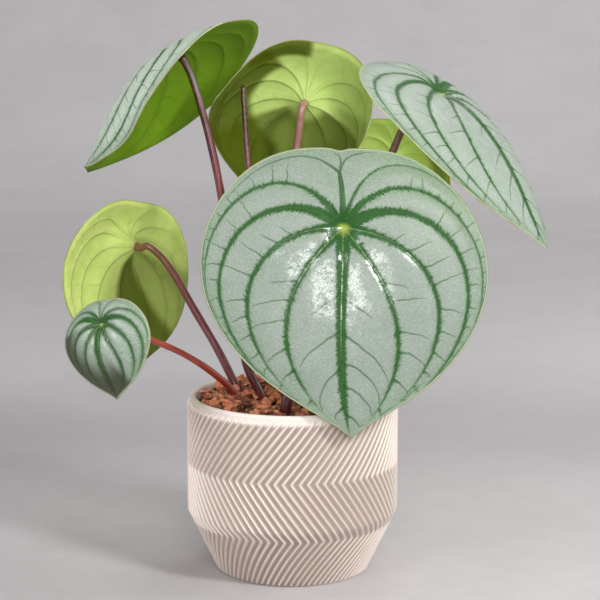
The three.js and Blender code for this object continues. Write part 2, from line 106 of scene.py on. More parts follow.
# What a leaf has unless its own entry says otherwise. Its painted shadows are painted shade and
# shadow that darken parts of the blade: the middle direction and half width, in degrees, the shares
# of the way to the margin at which one starts and is full, and its strength. Its glow is painted
# light: an emission of the underside that stands for the light of the bright room coming through
# it, where the lamps don't reach.
PLAIN_LEAF = dict(broad=1, back=1, curl=0, left_bend=0.3, right_bend=0.3, bend_growth=0, twist=0,
                  dimple=2, lean=(0, 0, 0), notch=0, veins=VEINS, fork=[], silver=1.0, painted_shadows=(),
                  glow=0.0)
# Each leaf's silver, a factor on the silver setting, and its under, the colour of its underside,
# differ from leaf to leaf as painted light and shade: they make a leaf lighter or darker to stand
# for the light that falls on it.
LEAVES = {
    "front": dict(
        at=(21.7, -35, 160.4), heading=-82.1, droop=72.3, roll=-6.3, tip=89, tip_bend=0.28,
        back_bend=0.25, quilt=0.55, funnel=2.5, dimple=2.2, lean=(-0.0048, 0.017, 0.0044),
        notch=0.012, veins=FRONT_VEINS, fork=FORK, grid=198, vein_width=1, seed=3,
        under=(0.42, 0.58, 0.12)),
    "upper_left": dict(
        at=(-49.9, 4.9, 232.4), heading=146.8, droop=30.3, roll=3.1, tip=77.3, broad=0.98,
        back=0.98, tip_bend=0.96, back_bend=0.33, curl=-0.97, left_bend=0.34, right_bend=1.08,
        bend_growth=0.7, twist=0.1, quilt=0.45, funnel=2.0, grid=150, vein_width=0.8, seed=5,
        silver=1.75, under=(0.24, 0.42, 0.02)),
    "centre_back": dict(
        at=(5.9, 38.6, 207.3), heading=136, droop=70.7, roll=-54.7, tip=51.7, broad=1.26,
        back=1.51, tip_bend=0.69, back_bend=0.35, curl=0.03, left_bend=1.12, right_bend=0.9,
        bend_growth=-0.05, twist=0.36, quilt=0.4, funnel=5.0, grid=140, vein_width=0.75, seed=7,
        under=(0.8, 0.95, 0.32), glow=0.05,
        painted_shadows=((72, 60, 0.47, 0.57, 0.92), (143, 30, 0.66, 0.76, 0.92),
                (-12, 62, 0.1, 0.22, 0.82), (-82, 14, 0.2, 0.5, 0.45))),
    "upper_right": dict(
        at=(65.1, 5.1, 214.8), heading=-33.7, droop=31.4, roll=3.9, tip=84.7, broad=1.03,
        back=0.85, tip_bend=0.79, back_bend=0.49, curl=-0.35, left_bend=0.13, right_bend=0.66,
        bend_growth=0.51, twist=-0.05, quilt=0.5, funnel=2.0, grid=170, vein_width=0.9, seed=9,
        silver=1.22, under=(0.35, 0.52, 0.1)),
    "back_right": dict(
        at=(47, 42.1, 181.1), heading=75.6, droop=84.7, roll=-17, tip=47.4, broad=0.96, back=1.02,
        tip_bend=0.26, back_bend=0.29, curl=-0.02, quilt=0.45, funnel=3.0, dimple=1.5, grid=110,
        vein_width=0.7, seed=13, under=(0.9, 1.0, 0.34), glow=0.2,
        painted_shadows=((-60, 50, 0.5, 0.8, 0.7),)),
    "left": dict(
        at=(-72.4, 21.9, 143.6), heading=-146.4, droop=76.7, roll=-73, tip=57.8, back=0.91,
        tip_bend=0.36, back_bend=0.13, curl=0.63, left_bend=-0.07, right_bend=0.02, twist=0.18,
        quilt=0.3, funnel=6.0, grid=140, vein_width=0.75, seed=17, under=(0.85, 1.0, 0.3),
        painted_shadows=((-16, 20, 0.04, 0.16, 0.86), (-50, 28, 0.1, 0.4, 0.42))),
    "small_front": dict(
        at=(-82.2, -36.2, 118.8), heading=-105.9, droop=64.4, roll=-27.9, tip=34.1, broad=1.12,
        back=0.87, tip_bend=1.25, back_bend=0.95, curl=-0.72, left_bend=0.24, right_bend=0.36,
        bend_growth=0.09, twist=-0.03, quilt=0.9, funnel=1.5, dimple=1.5, grid=120,
        vein_width=0.9, seed=19, silver=1.25, under=(0.5, 0.66, 0.2),
        painted_shadows=((-30, 50, 0.35, 0.8, 0.95),)),
}
LEAVES = {name: {**PLAIN_LEAF, **own} for name, own in LEAVES.items()}
YOUNG_LEAF = "small_front"

# Each stalk's route, in millimetres, from the crown up to its blade, its two radii, how far it
# arches under the blade, and its colours from the foot to the blade.
STALKS = {
    "front": dict(radii=(2.6, 1.9), bend=12, route=[
        (-5, -9.5, 60.35), (-3.6, -24, 68), (-3.2, -31, 79), (1.5, -29, 99), (8, -24, 122),
        (15, -19.5, 142)],
        colours=((0.055, 0.012, 0.010), (0.10, 0.018, 0.020), (0.12, 0.04, 0.03))),
    "upper_left": dict(radii=(2.1, 1.6), bend=0, route=[
        (-10.5, -3, 60.35), (-11.6, -3.6, 68), (-14.1, -3.8, 79.5), (-20.3, -3, 93.5),
        (-24.2, -1.4, 120.9), (-28.1, 0.1, 148.1), (-31.7, 1.4, 170.9), (-35, 2.4, 187.8),
        (-39.9, 3.6, 207.3), (-44.9, 4.5, 222.9)],
        colours=((0.12, 0.016, 0.018), (0.19, 0.034, 0.05), (0.05, 0.014, 0.009))),
    "centre_back": dict(radii=(2, 1.7), bend=6, route=[
        (-6, 7.5, 60.35), (-7.6, 10, 68), (-8.4, 12, 80.9), (-7.9, 18.1, 109.9), (-5.6, 21, 141.2),
        (-2, 26, 168), (2.1, 31.5, 187.8)],
        colours=((0.14, 0.02, 0.02), (0.22, 0.05, 0.06), (0.44, 0.22, 0.20))),
    "upper_right": dict(radii=(2, 1.6), bend=6, route=[
        (1, -1, 60.35), (2, 0.5, 68), (3.4, 2, 80), (12.4, 2.5, 103.7), (25.7, 3.2, 135.4),
        (36.7, 3.8, 166.7), (44.7, 4.3, 188.9), (50.5, 4.7, 200.5)],
        colours=((0.10, 0.015, 0.015), (0.12, 0.02, 0.02), (0.05, 0.014, 0.01))),
    "back_right": dict(radii=(1.9, 1.5), bend=6, route=[
        (0.5, 5, 60.35), (0.8, 9, 68), (1.2, 14, 81), (12.7, 23, 113.6), (26.5, 31, 144.7),
        (37, 34.5, 166)],
        colours=((0.14, 0.02, 0.02), (0.25, 0.05, 0.06), (0.30, 0.10, 0.08))),
    "left": dict(radii=(2, 1.6), bend=2.4, route=[
        (-14, 4, 60.35), (-19, 10, 68), (-25.3, 14.5, 79), (-33.6, 16.1, 95.7),
        (-44.9, 18.1, 115.2), (-53.4, 18.4, 130.4), (-60.2, 18, 139.8), (-66, 17.6, 144.2)],
        colours=((0.10, 0.014, 0.016), (0.22, 0.05, 0.068), (0.24, 0.10, 0.055))),
    "small_front": dict(radii=(1.8, 1.1), bend=3, route=[
        (-15.5, -4.5, 60.35), (-18.5, -4.6, 68), (-25.2, -4.6, 80.2), (-33.9, -9, 90.1),
        (-47.3, -16.4, 101), (-61.2, -23.5, 109.1), (-71.5, -29, 114.8)],
        colours=((0.16, 0.022, 0.012), (0.33, 0.035, 0.018), (0.36, 0.06, 0.028))),
}
SPIKE = dict(radii=(2.1, 1.1), route=[
    (-5, 1.5, 60.35), (-4.6, 2.2, 68), (-4.3, 3, 79.7), (-6.9, 4.8, 94.1), (-11, 7.6, 116.5),
    (-15.9, 11.5, 147.7), (-19.6, 15.4, 179.6), (-21.3, 18.4, 203.3), (-22.1, 20, 216.6)],
    colours=((0.14, 0.02, 0.02), (0.32, 0.075, 0.085), (0.045, 0.014, 0.010)))

# How much wider a stalk is at its blade and at its foot, and over what length, in millimetres.
HEAD_FLARE, HEAD_LENGTH = 0.45, 1.6
FOOT_FLARE, FOOT_LENGTH = 0.5, 9
SPIKE_END = 1.6  # length of the spike's blunt end

# The mulch, in millimetres. Both its bed and its chips have a height at the wall and an amount by
# which they are higher in the middle. Then come the bed's thickness and how far the chips' middles
# stay from the wall. The lower and the upper layer of chips have their shares of the chips, ranges
# of sizes and of heights over the heap, lean in radians and a depth, from 0 to 1, that sets their
# painted shade: the lower the depth, the darker the painted shade between the chips.
BED_TOP, BED_HEAP, BED_THICKNESS = 75.4, 1.2, 2.6
CHIP_TOP, CHIP_HEAP, CHIP_MARGIN = 76.6, 1.4, 2.4
CHIP_LAYERS = (dict(part=0.42, size=(0.8, 1.2), rise=(-0.6, 0.9), lean=0.3, depth=0.35),
               dict(part=0.58, size=(0.55, 1.05), rise=(1.4, 3.4), lean=0.55, depth=1.0))
CHIP_SHAPES = 9
GOLDEN_ANGLE = 2.39996
WALL_GAP = 0.35  # between the bed and the pot's wall

# The backdrop is a strip, in metres: how far it reaches to the camera's side, its flat length, the
# radius of its bend, its whole length and half its width.
STRIP = dict(near=2.0, flat=3.4, bend=0.8, length=6.0, half_width=2.5)
CAMERA = dict(place=(0, -0.85, 0.274), pitch=0.1765, turn=-0.0040)
LIGHT_AIM = 0.13  # height that the lamps face
# Each lamp's power in watts, size in metres, azimuth and elevation in degrees, and distance in
# metres. A key lamp's power is a share of the key setting.
KEY_LAMPS = {"key": (1, 0.16, 45, 30, 0.9), "second": (0.16, 0.14, -28, 36, 0.9)}
LAMPS = {"front": (3.3, 0.36, 2, 17, 0.9), "left": (7.0, 0.5, -72, 18, 1.1),
         "side": (3.6, 0.6, 90, 20, 1.2), "overhead": (1.3, 0.9, 90, 88, 1.2),
         "behind": (3.5, 0.6, 150, 55, 1.2)}
WORLD_COLOUR, WORLD_STRENGTH = (1, 0.985, 0.985, 1), 0.18


# ---- User settings --------------------------------------------------------------------------

def size_property(name, description, default, low, high):
    return FloatProperty(name=name, description=description, default=default, min=low, max=high,
                         subtype="DISTANCE", unit="LENGTH", precision=5)


def colour_property(name, description, default):
    return FloatVectorProperty(name=name, description=description, default=default, size=3, min=0,
                               max=1, subtype="COLOR")


class PotSettings(bpy.types.PropertyGroup):
    """Sizes and colours of the pot."""
    rib_depth: size_property("Rib depth", "Height of the ribs over their grooves", 0.0011, 0.0,
                             0.003)
    glaze: colour_property("Glaze", "Colour of the glaze on the ribs and the rim",
                           (0.80, 0.70, 0.64))
    # The groove colour is partly glaze pooled in the grooves and partly painted shade in them.
    groove: colour_property("Groove", "Colour of the glaze that pooled in the grooves",
                            (0.255, 0.18, 0.135))


class MulchSettings(bpy.types.PropertyGroup):
    """Sizes and colours of the bark mulch."""
    chips: IntProperty(name="Chips", description="Number of bark chips", default=440, min=50,
                       max=900)
    chip_length: size_property("Chip length", "Length of a middling chip", 0.0078, 0.003, 0.02)
    red: colour_property("Red bark", "Colour of the fresh faces of the chips", (0.84, 0.285, 0.15))
    dark: colour_property("Dark bark", "Colour of the weathered faces", (0.13, 0.045, 0.025))


class BladeSettings(bpy.types.PropertyGroup):
    """Sizes and colours of the leaf blades."""
    thickness: size_property("Thickness", "Thickness of a blade", 0.0009, 0.0004, 0.003)
    silver: colour_property("Silver", "Colour of the bands between the veins",
                            (0.298, 0.345, 0.3))
    vein: colour_property("Vein green", "Colour along the veins of the upper face",
                          (0.016, 0.078, 0.012))
    margin: colour_property("Margin", "Colour of the upper face near its edge and veins",
                            (0.17, 0.285, 0.15))


class StageSettings(bpy.types.PropertyGroup):
    """Floor, backdrop, lights and camera."""
    grey: colour_property("Grey", "Colour of the floor and the backdrop", (0.61, 0.588, 0.596))
    focal: FloatProperty(name="Focal length", description="Focal length of the camera",
                         default=116.3, min=20, max=300, subtype="DISTANCE_CAMERA", unit="CAMERA")
    key: FloatProperty(name="Key light", description="Power of the key light", default=4.7, min=0,
                       max=200, subtype="POWER", unit="POWER")


# ---- Mesh helpers ---------------------------------------------------------------------------

def clear_selection():
    if bpy.context.object and bpy.context.object.mode != "OBJECT":
        bpy.ops.object.mode_set(mode="OBJECT")
    bpy.ops.object.select_all(action="DESELECT")


def pick(*objects):
    clear_selection()
    for o in objects:
        o.select_set(True)
    bpy.context.view_layer.objects.active = objects[0]


def named(name):
    made = bpy.context.object
    made.name = name
    made.data.name = name
    return made


def apply_modifiers(o):
    pick(o)
    for modifier in list(o.modifiers):
        bpy.ops.object.modifier_apply(modifier=modifier.name)


def grid(name, columns, rows):
    """A flat grid two units wide, and its points' places in it, from -1 to 1."""
    clear_selection()
    bpy.ops.mesh.primitive_grid_add(x_subdivisions=columns, y_subdivisions=rows, size=2,
                                    calc_uvs=True)
    o = named(name)
    places = np.empty(len(o.data.vertices) * 3, np.float32)
    o.data.vertices.foreach_get("co", places)
    return o, places.reshape(-1, 3)[:, :2].astype(float)


def on_disc(places):
    """A square grid's places on a disc with a radius of one."""
    a, b = places.T
    return a * np.sqrt(1 - b * b / 2), b * np.sqrt(1 - a * a / 2)


def move_points(o, millimetres):
    o.data.vertices.foreach_set("co", (np.asarray(millimetres) * MM).astype(np.float32).ravel())
    o.data.update()


def loop_corners(o):
    corners = np.empty(len(o.data.loops), np.int32)
    o.data.loops.foreach_get("vertex_index", corners)
    return corners


def set_uv(o, uv):
    layer = o.data.uv_layers.active or o.data.uv_layers.new(name="UVMap")
    layer.name = "UVMap"
    layer.data.foreach_set("uv", np.asarray(uv, np.float32).ravel())


def set_values(o, name, values):
    found = o.data.attributes.get(name) or o.data.attributes.new(name, "FLOAT", "POINT")
    found.data.foreach_set("value", np.asarray(values, np.float32))


def close_seams(o, distance=1e-6):
    pick(o)
    bpy.ops.object.mode_set(mode="EDIT")
    bpy.ops.mesh.select_all(action="SELECT")
    bpy.ops.mesh.remove_doubles(threshold=distance)
    bpy.ops.mesh.normals_make_consistent(inside=False)
    bpy.ops.object.mode_set(mode="OBJECT")


def smooth(o):
    pick(o)
    bpy.ops.object.shade_smooth()


def use_materials(o, *materials):
    o.data.materials.clear()
    for material in materials:
        o.data.materials.append(material)


def dress(o, node):
    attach(o, BODY)
    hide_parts(node)


def ease(edge0, edge1, value):
    """A smooth step from 0 at edge0 to 1 at edge1."""
    share = np.clip((value - edge0) / (edge1 - edge0), 0, 1)
    return share * share * (3 - 2 * share)


# ---- Shader helpers -------------------------------------------------------------------------

def sum_node(operation):
    """A method that puts a Math node after its value."""
    return lambda value, *others: value.shader.math(operation, value, *others)


class Value:
    """A shader socket that can stand in a sum."""

    __add__, __sub__, __mul__ = sum_node("ADD"), sum_node("SUBTRACT"), sum_node("MULTIPLY")
    __truediv__, __pow__ = sum_node("DIVIDE"), sum_node("POWER")
    __abs__, __round__ = sum_node("ABSOLUTE"), sum_node("ROUND")

    def __init__(self, shader, socket):
        self.shader, self.socket = shader, socket


class Shader:
    """Adds nodes to a material's tree or a group's tree."""

    def __init__(self, tree, surface=None):
        self.tree, self.surface = tree, surface

    def put(self, socket, value):
        if isinstance(value, Value):
            self.tree.links.new(value.socket, socket)
        else:
            socket.default_value = (*value, 1) if socket.type == "RGBA" else value

    def feed(self, sockets, **values):
        """Sets or links inputs by their names, in which underscores stand for spaces."""
        for key, value in values.items():
            self.put(sockets[key.replace("_", " ")], value)

    def set(self, **values):
        """Sets or links inputs of the material's BSDF."""
        self.feed(self.surface.inputs, **values)

    def node(self, kind, settings=None, **inputs):
        made = self.tree.nodes.new(kind)
        for key, value in (settings or {}).items():
            setattr(made, key, value)
        self.feed(made.inputs, **inputs)
        return made

    def value(self, kind, output, settings=None, **inputs):
        return Value(self, self.node(kind, settings, **inputs).outputs[output])

    def math(self, operation, *values):
        made = self.node("ShaderNodeMath", {"operation": operation})
        for socket, value in zip(made.inputs, values):
            self.put(socket, value)
        return Value(self, made.outputs[0])

    def vector(self, x, y, z=0.0):
        return self.value("ShaderNodeCombineXYZ", 0, X=x, Y=y, Z=z)

    def parts(self, vector):
        made = self.node("ShaderNodeSeparateXYZ", Vector=vector)
        return [Value(self, socket) for socket in made.outputs]

    def ramp(self, value, low, high, to_low=0.0, to_high=1.0, kind="SMOOTHSTEP"):
        return self.value("ShaderNodeMapRange", 0, {"interpolation_type": kind}, Value=value,
                          From_Min=low, From_Max=high, To_Min=to_low, To_Max=to_high)

    def mix(self, factor, a, b):
        made = self.node("ShaderNodeMix", {"data_type": "RGBA"})
        for index, value in ((0, factor), (6, a), (7, b)):
            self.put(made.inputs[index], value)
        return Value(self, made.outputs[2])

    def layers(self, colour, *coats):
        """A colour with coats, each a mask and a colour, mixed over it in turn."""
        for mask, coat in coats:
            colour = self.mix(mask, colour, coat)
        return colour

    def noise(self, vector, scale, detail=2.0, roughness=0.5, distortion=0.0):
        return self.value("ShaderNodeTexNoise", "Fac", Vector=vector, Scale=scale, Detail=detail,
                          Roughness=roughness, Distortion=distortion)

    def attribute(self, name):
        return self.value("ShaderNodeAttribute", "Fac", {"attribute_name": name})

    def uv(self):
        """The two coordinates of the UV map."""
        return self.parts(self.value("ShaderNodeUVMap", 0, {"uv_map": "UVMap"}))[:2]

    def place(self):
        """The object's own coordinates, in metres."""
        return self.value("ShaderNodeTexCoord", "Object")

    def bump(self, height, distance, strength):
        return self.value("ShaderNodeBump", "Normal", Height=height, Distance=distance,
                          Strength=strength)

    def group(self, tree, **inputs):
        made = self.node("ShaderNodeGroup", {"node_tree": tree}, **inputs)
        return {socket.name: Value(self, socket) for socket in made.outputs}

    def let_light_through(self, colour, share):
        """Mixes a translucent share into a leaf's surface."""
        glow = self.node("ShaderNodeBsdfTranslucent", Color=colour)
        blend = self.node("ShaderNodeMixShader", Fac=share)
        self.tree.links.new(self.surface.outputs[0], blend.inputs[1])
        self.tree.links.new(glow.outputs[0], blend.inputs[2])
        self.tree.links.new(blend.outputs[0], self.tree.nodes["Material Output"].inputs["Surface"])


def new_material(name, colour, roughness, specular=0.5):
    """A material with a Principled BSDF, and its Shader."""
    material = bpy.data.materials.new(name)
    material.use_nodes = True
    material.diffuse_color = (*colour, 1)
    s = Shader(material.node_tree, material.node_tree.nodes["Principled BSDF"])
    s.set(Base_Color=colour, Roughness=roughness, Specular_IOR_Level=specular)
    return material, s


def tone(colour, *factors):
    """A colour times one factor, or one for each channel, and no channel over one."""
    return tuple(min(c * k, 1) for c, k in zip(colour, factors * (3 // len(factors))))


# ---- The pot --------------------------------------------------------------------------------

def pot_radius(z):
    taper = POT["base_radius"] + (POT["radius"] - POT["base_radius"]) * z / POT["shoulder"]
    return np.where(z < POT["shoulder"], taper, POT["radius"])


def rib_turn(z):
    """How far round the ribs have turned at a height, in radians."""
    turn = np.zeros_like(z)
    for band, slant in enumerate(POT["slants"]):
        low, high = POT["lines"][band], POT["lines"][band + 1]
        turn += slant * np.clip((z - low) / (high - low), 0, 1)
    return turn


# The ribbed wall's rows, in millimetres: the lowest, how far over the ribs' ends the plain rim
# starts, and the step between them.
FOOT_TOP, RIM_RISE, ROW_STEP = 0.9, 0.6, 0.82
# How far the rim's rounding has drawn in at each height, on its outside and its inside.
RIM_ROUNDING = ((0.05, 78.9), (0.2, 79.4), (0.5, 79.8), (0.95, 80.0))


def pot_rows():
    """The pot's section as rows of (radius, height, how much of the rib depth shows)."""
    high = POT["lines"][3] + RIM_RISE
    rows = [(0.0, 0.0, 0), (20.0, 0.0, 0), (31.0, 0.0, 0), (32.6, 0.05, 0.2), (33.2, 0.3, 0.5)]
    rows += [(None, float(z), 1) for z in np.arange(FOOT_TOP, high, ROW_STEP)]
    rim, inner = POT["rim_radius"], POT["inner_radius"]
    rows += [(rim, high, 0), (rim - 0.02, 78.2, 0)]
    rows += [(rim - inset, z, 0) for inset, z in RIM_ROUNDING]
    rows += [(inner + inset, z, 0) for inset, z in reversed(RIM_ROUNDING)]
    rows += [(inner, z, 0) for z in (78, 74, 60, POT["shoulder"])]
    rows += [(32.4, 7.5, 0), (POT["inner_floor_radius"], 5.6, 0), (30.5, POT["floor"], 0),
             (0.0, POT["floor"], 0)]
    return rows


# Where the columns of one rib stand, as shares of its width from its crest, and how much of a
# half circle the section of the groove between two crests is.
RIB_COLUMNS = [0.0, 0.055, 0.15, 0.31, 0.5, 0.69, 0.85, 0.945]
FLUTE = 0.94
# The ribs' rounded heads, in millimetres: how much lower they are beside the crest, and how far
# above and below that the ribs run out.
HEAD_DROP, HEAD_ABOVE, HEAD_BELOW = 1.5, 0.7, 0.9


def rib_section(phase):
    """Height of the rib section, from 0 in the middle of the groove to 1 on the crest."""
    from_middle = 1 - 2 * np.abs(phase - np.rint(phase))
    return (1 - np.sqrt(1 - (FLUTE * from_middle) ** 2)) / (1 - math.sqrt(1 - FLUTE**2))


class PEPEROMIA_OT_pot(bpy.types.Operator):
    """Make the ribbed pot, with its chevron lines, rounded rim and inside wall"""
    bl_idname = "peperomia.pot"
    bl_label = "Pot"

    def execute(self, context):
        settings = context.scene.peperomia_pot
        rows = pot_rows()
        columns = POT["ribs"] * len(RIB_COLUMNS)
        o, places = grid("pot_glazed", columns, len(rows) - 1)
        column = np.rint((places[:, 0] + 1) / 2 * columns).astype(int)
        rib, part = np.divmod(column, len(RIB_COLUMNS))
        across = (rib + np.array(RIB_COLUMNS)[part]) / POT["ribs"]
        row = np.rint((places[:, 1] + 1) / 2 * (len(rows) - 1)).astype(int)
        heights = np.array([z for _, z, _ in rows])[row]
        shown = np.array([share for _, _, share in rows])[row].astype(float)
        fixed = np.array([np.nan if radius is None else radius for radius, _, _ in rows])[row]
        phase = across * POT["ribs"]
        from_crest = np.abs(phase - np.rint(phase)) * 2
        head = POT["lines"][3] - HEAD_DROP * from_crest**2
        over = ease(head + HEAD_ABOVE, head - HEAD_BELOW, heights)
        depth = settings.rib_depth / MM
        section = rib_section(phase)
        body = pot_radius(heights)
        recess = body - (POT["radius"] - POT["rim_radius"])
        wall = recess + (body + depth * (section - 1) - recess) * over
        flat = ~np.isnan(fixed)
        radius = np.where(flat, np.nan_to_num(fixed) + depth * (section - 1) * shown, wall)
        angle = across * 2 * np.pi + rib_turn(heights)
        move_points(o, np.stack([radius * np.cos(angle), radius * np.sin(angle), heights], -1))
        # The groove attribute, largest in the middle of a groove, carries the pooled glaze and the
        # painted shade of the grooves.
        set_values(o, "groove", np.where(flat, 0, (1 - section) * over))
        close_seams(o)
        smooth(o)
        use_materials(o, glaze_material(settings))
        dress(o, "pot")
        return {"FINISHED"}


def glaze_material(settings):
    material, s = new_material("satin_glaze", settings.glaze, 0.42)
    place = s.place()
    cloud = s.noise(place, 38, 3, 0.5)
    colour = s.layers(
        settings.glaze,
        # the grooves darken: pooled glaze and painted shade
        (s.ramp(s.attribute("groove"), 0.3, 1.0) * 0.82, settings.groove),
        (s.ramp(cloud, 0.35, 0.75, 0.0, 0.16), (0.60, 0.46, 0.385)),
        (s.ramp(s.noise(place, 900, 2, 0.6), 0.62, 0.78, 0.0, 0.22), (0.50, 0.37, 0.30)))
    s.set(Base_Color=colour, Roughness=s.ramp(cloud, 0.3, 0.7, 0.36, 0.5),
          Normal=s.bump(s.noise(place, 1400, 2, 0.6), 0.00008, 0.35))
    return material


# ---- Leaf shape -----------------------------------------------------------------------------

def leaf_axes(leaf):
    """Unit vectors from a leaf's stalk: to its tip, out of its upper face, and to its right."""
    h, d, roll = (math.radians(leaf[key]) for key in ("heading", "droop", "roll"))
    tip = np.array([math.cos(d) * math.cos(h), math.cos(d) * math.sin(h), -math.sin(d)])
    level = np.array([math.sin(d) * math.cos(h), math.sin(d) * math.sin(h), math.cos(d)])
    up = level * math.cos(roll) + np.cross(level, tip) * math.sin(roll)
    return tip, up, np.cross(up, tip)


def outline_reach(leaf, theta):
    reach = sum(share * np.cos(k * theta) for k, share in enumerate(OUTLINE))
    reach = reach + TIP_POINT * np.exp(-2 * np.abs(np.sin(theta / 2)) / TIP_SHARPNESS)
    reach = reach + sum(share * np.sin((k + 1) * theta) for k, share in enumerate(leaf["lean"]))
    notch = leaf["notch"] * np.exp(-((np.pi - np.abs(theta)) / 0.09) ** 2)
    return reach - notch


def flat_place(leaf, theta, t):
    """Where a direction and a share of the way to the margin fall on the flat blade, in mm."""
    reach = t * leaf["tip"] * outline_reach(leaf, theta)
    x = reach * np.cos(theta)
    y = reach * np.sin(theta) * leaf["broad"]
    return np.where(x < 0, x * leaf["back"], x), y


def blade_surface(leaf, x, y):
    """The blade's upper face before its relief, at flat coordinates x and y in millimetres."""
    tip, up, side = leaf_axes(leaf)
    line = np.linspace(-1.0, 1.3, 461)
    angle = np.where(line > 0, leaf["tip_bend"] * line + leaf["curl"] * np.clip(line, 0, None) ** 4,
                     leaf["back_bend"] * line)
    step = np.diff(line)
    middle = (angle[1:] + angle[:-1]) / 2
    along = np.concatenate([[0], np.cumsum(np.cos(middle) * step)]) * leaf["tip"]
    down = np.concatenate([[0], np.cumsum(np.sin(middle) * step)]) * leaf["tip"]
    along -= np.interp(0, line, along)
    down -= np.interp(0, line, down)
    u = x / leaf["tip"]
    slope = np.interp(u, line, angle)
    width = HALF_WIDTH * leaf["tip"]
    bend = np.where(y > 0, leaf["right_bend"], leaf["left_bend"]) * (1 + leaf["bend_growth"] * u)
    bend = np.where(np.abs(bend) < 1e-4, 1e-4, bend)
    turn = bend * np.abs(y) / width
    across = np.sign(y) * width * np.sin(turn) / bend
    sink = -width * (1 - np.cos(turn)) / bend
    twist = leaf["twist"] * u
    right = across * np.cos(twist) - sink * np.sin(twist)
    rise = across * np.sin(twist) + sink * np.cos(twist)
    return (np.array(leaf["at"])
            + (np.interp(u, line, along) + rise * np.sin(slope))[..., None] * tip
            + (-np.interp(u, line, down) + rise * np.cos(slope))[..., None] * up
            + right[..., None] * side)


def blade_normal(leaf, x, y, step=0.4):
    to_tip = blade_surface(leaf, x + step, y) - blade_surface(leaf, x - step, y)
    to_side = blade_surface(leaf, x, y + step) - blade_surface(leaf, x, y - step)
    normal = np.cross(to_tip, to_side)
    return normal / np.linalg.norm(normal, axis=-1, keepdims=True)


# ---- Veins ----------------------------------------------------------------------------------

def vein_pull(phi, t):
    """How strongly a vein that leaves the stalk in direction phi has turned to the tip at t."""
    x = np.clip(np.abs(phi) / np.pi, 0, 1)
    return (0.786 - 0.351 * x) * -np.log(1 - (0.985 * t) ** (2.77 - 2.587 * x))


def vein_from(theta, t):
    """The direction in which the vein through a point left the stalk."""
    phi = theta.copy()
    for _ in range(30):
        phi = 2 * np.arctan2(np.exp(vein_pull(phi, t)) * np.sin(theta / 2), np.cos(theta / 2))
    return phi


def vein_to(phi, t):
    """The direction of a vein's point at t, for a vein that leaves the stalk in direction phi."""
    return 2 * np.arctan2(np.exp(-vein_pull(phi, t)) * np.sin(phi / 2), np.cos(phi / 2))


class VeinMap:
    """Cell numbers and lengths along the veins, over one leaf."""

    def __init__(self, leaf):
        self.leaf = leaf
        veins = np.radians(leaf["veins"])
        self.phis = np.concatenate([[-np.pi], veins, [np.pi]])
        self.cells = np.concatenate([[-5.5], np.arange(-5, 6), [5.5]])
        self.lines = np.linspace(-np.pi, np.pi, 241)
        self.steps = np.linspace(0, 1, 241)
        phi, t = np.meshgrid(self.lines, self.steps, indexing="ij")
        x, y = flat_place(leaf, vein_to(phi, t), t)
        length = np.hypot(np.diff(x, axis=1), np.diff(y, axis=1))
        start = np.zeros((len(self.lines), 1))
        self.runs = np.concatenate([start, np.cumsum(length, axis=1)], axis=1)

    def cell_of(self, phi):
        return np.interp(phi, self.phis, self.cells)

    def run(self, phi, t):
        a = (phi + np.pi) / (2 * np.pi) * (len(self.lines) - 1)
        b = np.clip(t, 0, 1) * (len(self.steps) - 1)
        i = np.clip(a.astype(int), 0, len(self.lines) - 2)
        j = np.clip(b.astype(int), 0, len(self.steps) - 2)
        a, b, runs = a - i, b - j, self.runs
        return ((runs[i, j] * (1 - a) + runs[i + 1, j] * a) * (1 - b)
                + (runs[i, j + 1] * (1 - a) + runs[i + 1, j + 1] * a) * b)

    def span(self, theta, t):
        """Millimetres across one cell at a point: one over the slope of the cell number."""
        leaf = self.leaf
        x, y = flat_place(leaf, theta, t)
        step = 0.05
        slopes = []
        centre = self.cell_of(vein_from(theta, t))
        for dx, dy in ((step, 0), (0, step)):
            px, py = x + dx, y + dy
            px = np.where(px < 0, px / leaf["back"], px)
            angle = np.arctan2(py / leaf["broad"], px)
            reach = np.hypot(px, py / leaf["broad"]) / (leaf["tip"] * outline_reach(leaf, angle))
            near = self.cell_of(vein_from(angle, np.clip(reach, 0, 1)))
            change = near - centre
            slopes.append((change - CELLS * np.rint(change / CELLS)) / step)
        return 1 / np.maximum(np.hypot(*slopes), 1 / 60)


def main_vein_width(leaf, cell, t):
    """Half the width of the dark band along the nearest main vein, in millimetres."""
    rank = np.abs(np.rint(cell))
    base = np.interp(rank, [0, 1, 2, 3, 4, 5], [2.2, 1.15, 1.2, 1.3, 0.85, 0.45])
    inner = np.interp(t, [0, 0.1, 0.25, 0.5, 0.75, 0.88, 0.96, 1],
                      [1.25, 1.2, 1.1, 1, 0.92, 0.62, 0.15, 0])
    back = np.interp(t, [0, 0.15, 0.35, 0.6, 0.9, 0.965, 0.99, 1],
                     [2.6, 2.2, 1.5, 1, 0.75, 0.5, 0.15, 0])
    star = 2.0 * np.exp(-((t / 0.14) ** 2))
    width = base * np.where(rank > 2.5, back, inner) + star
    if leaf["fork"]:
        width = np.where(cell < -4.5, star, width)
    return width * leaf["vein_width"]


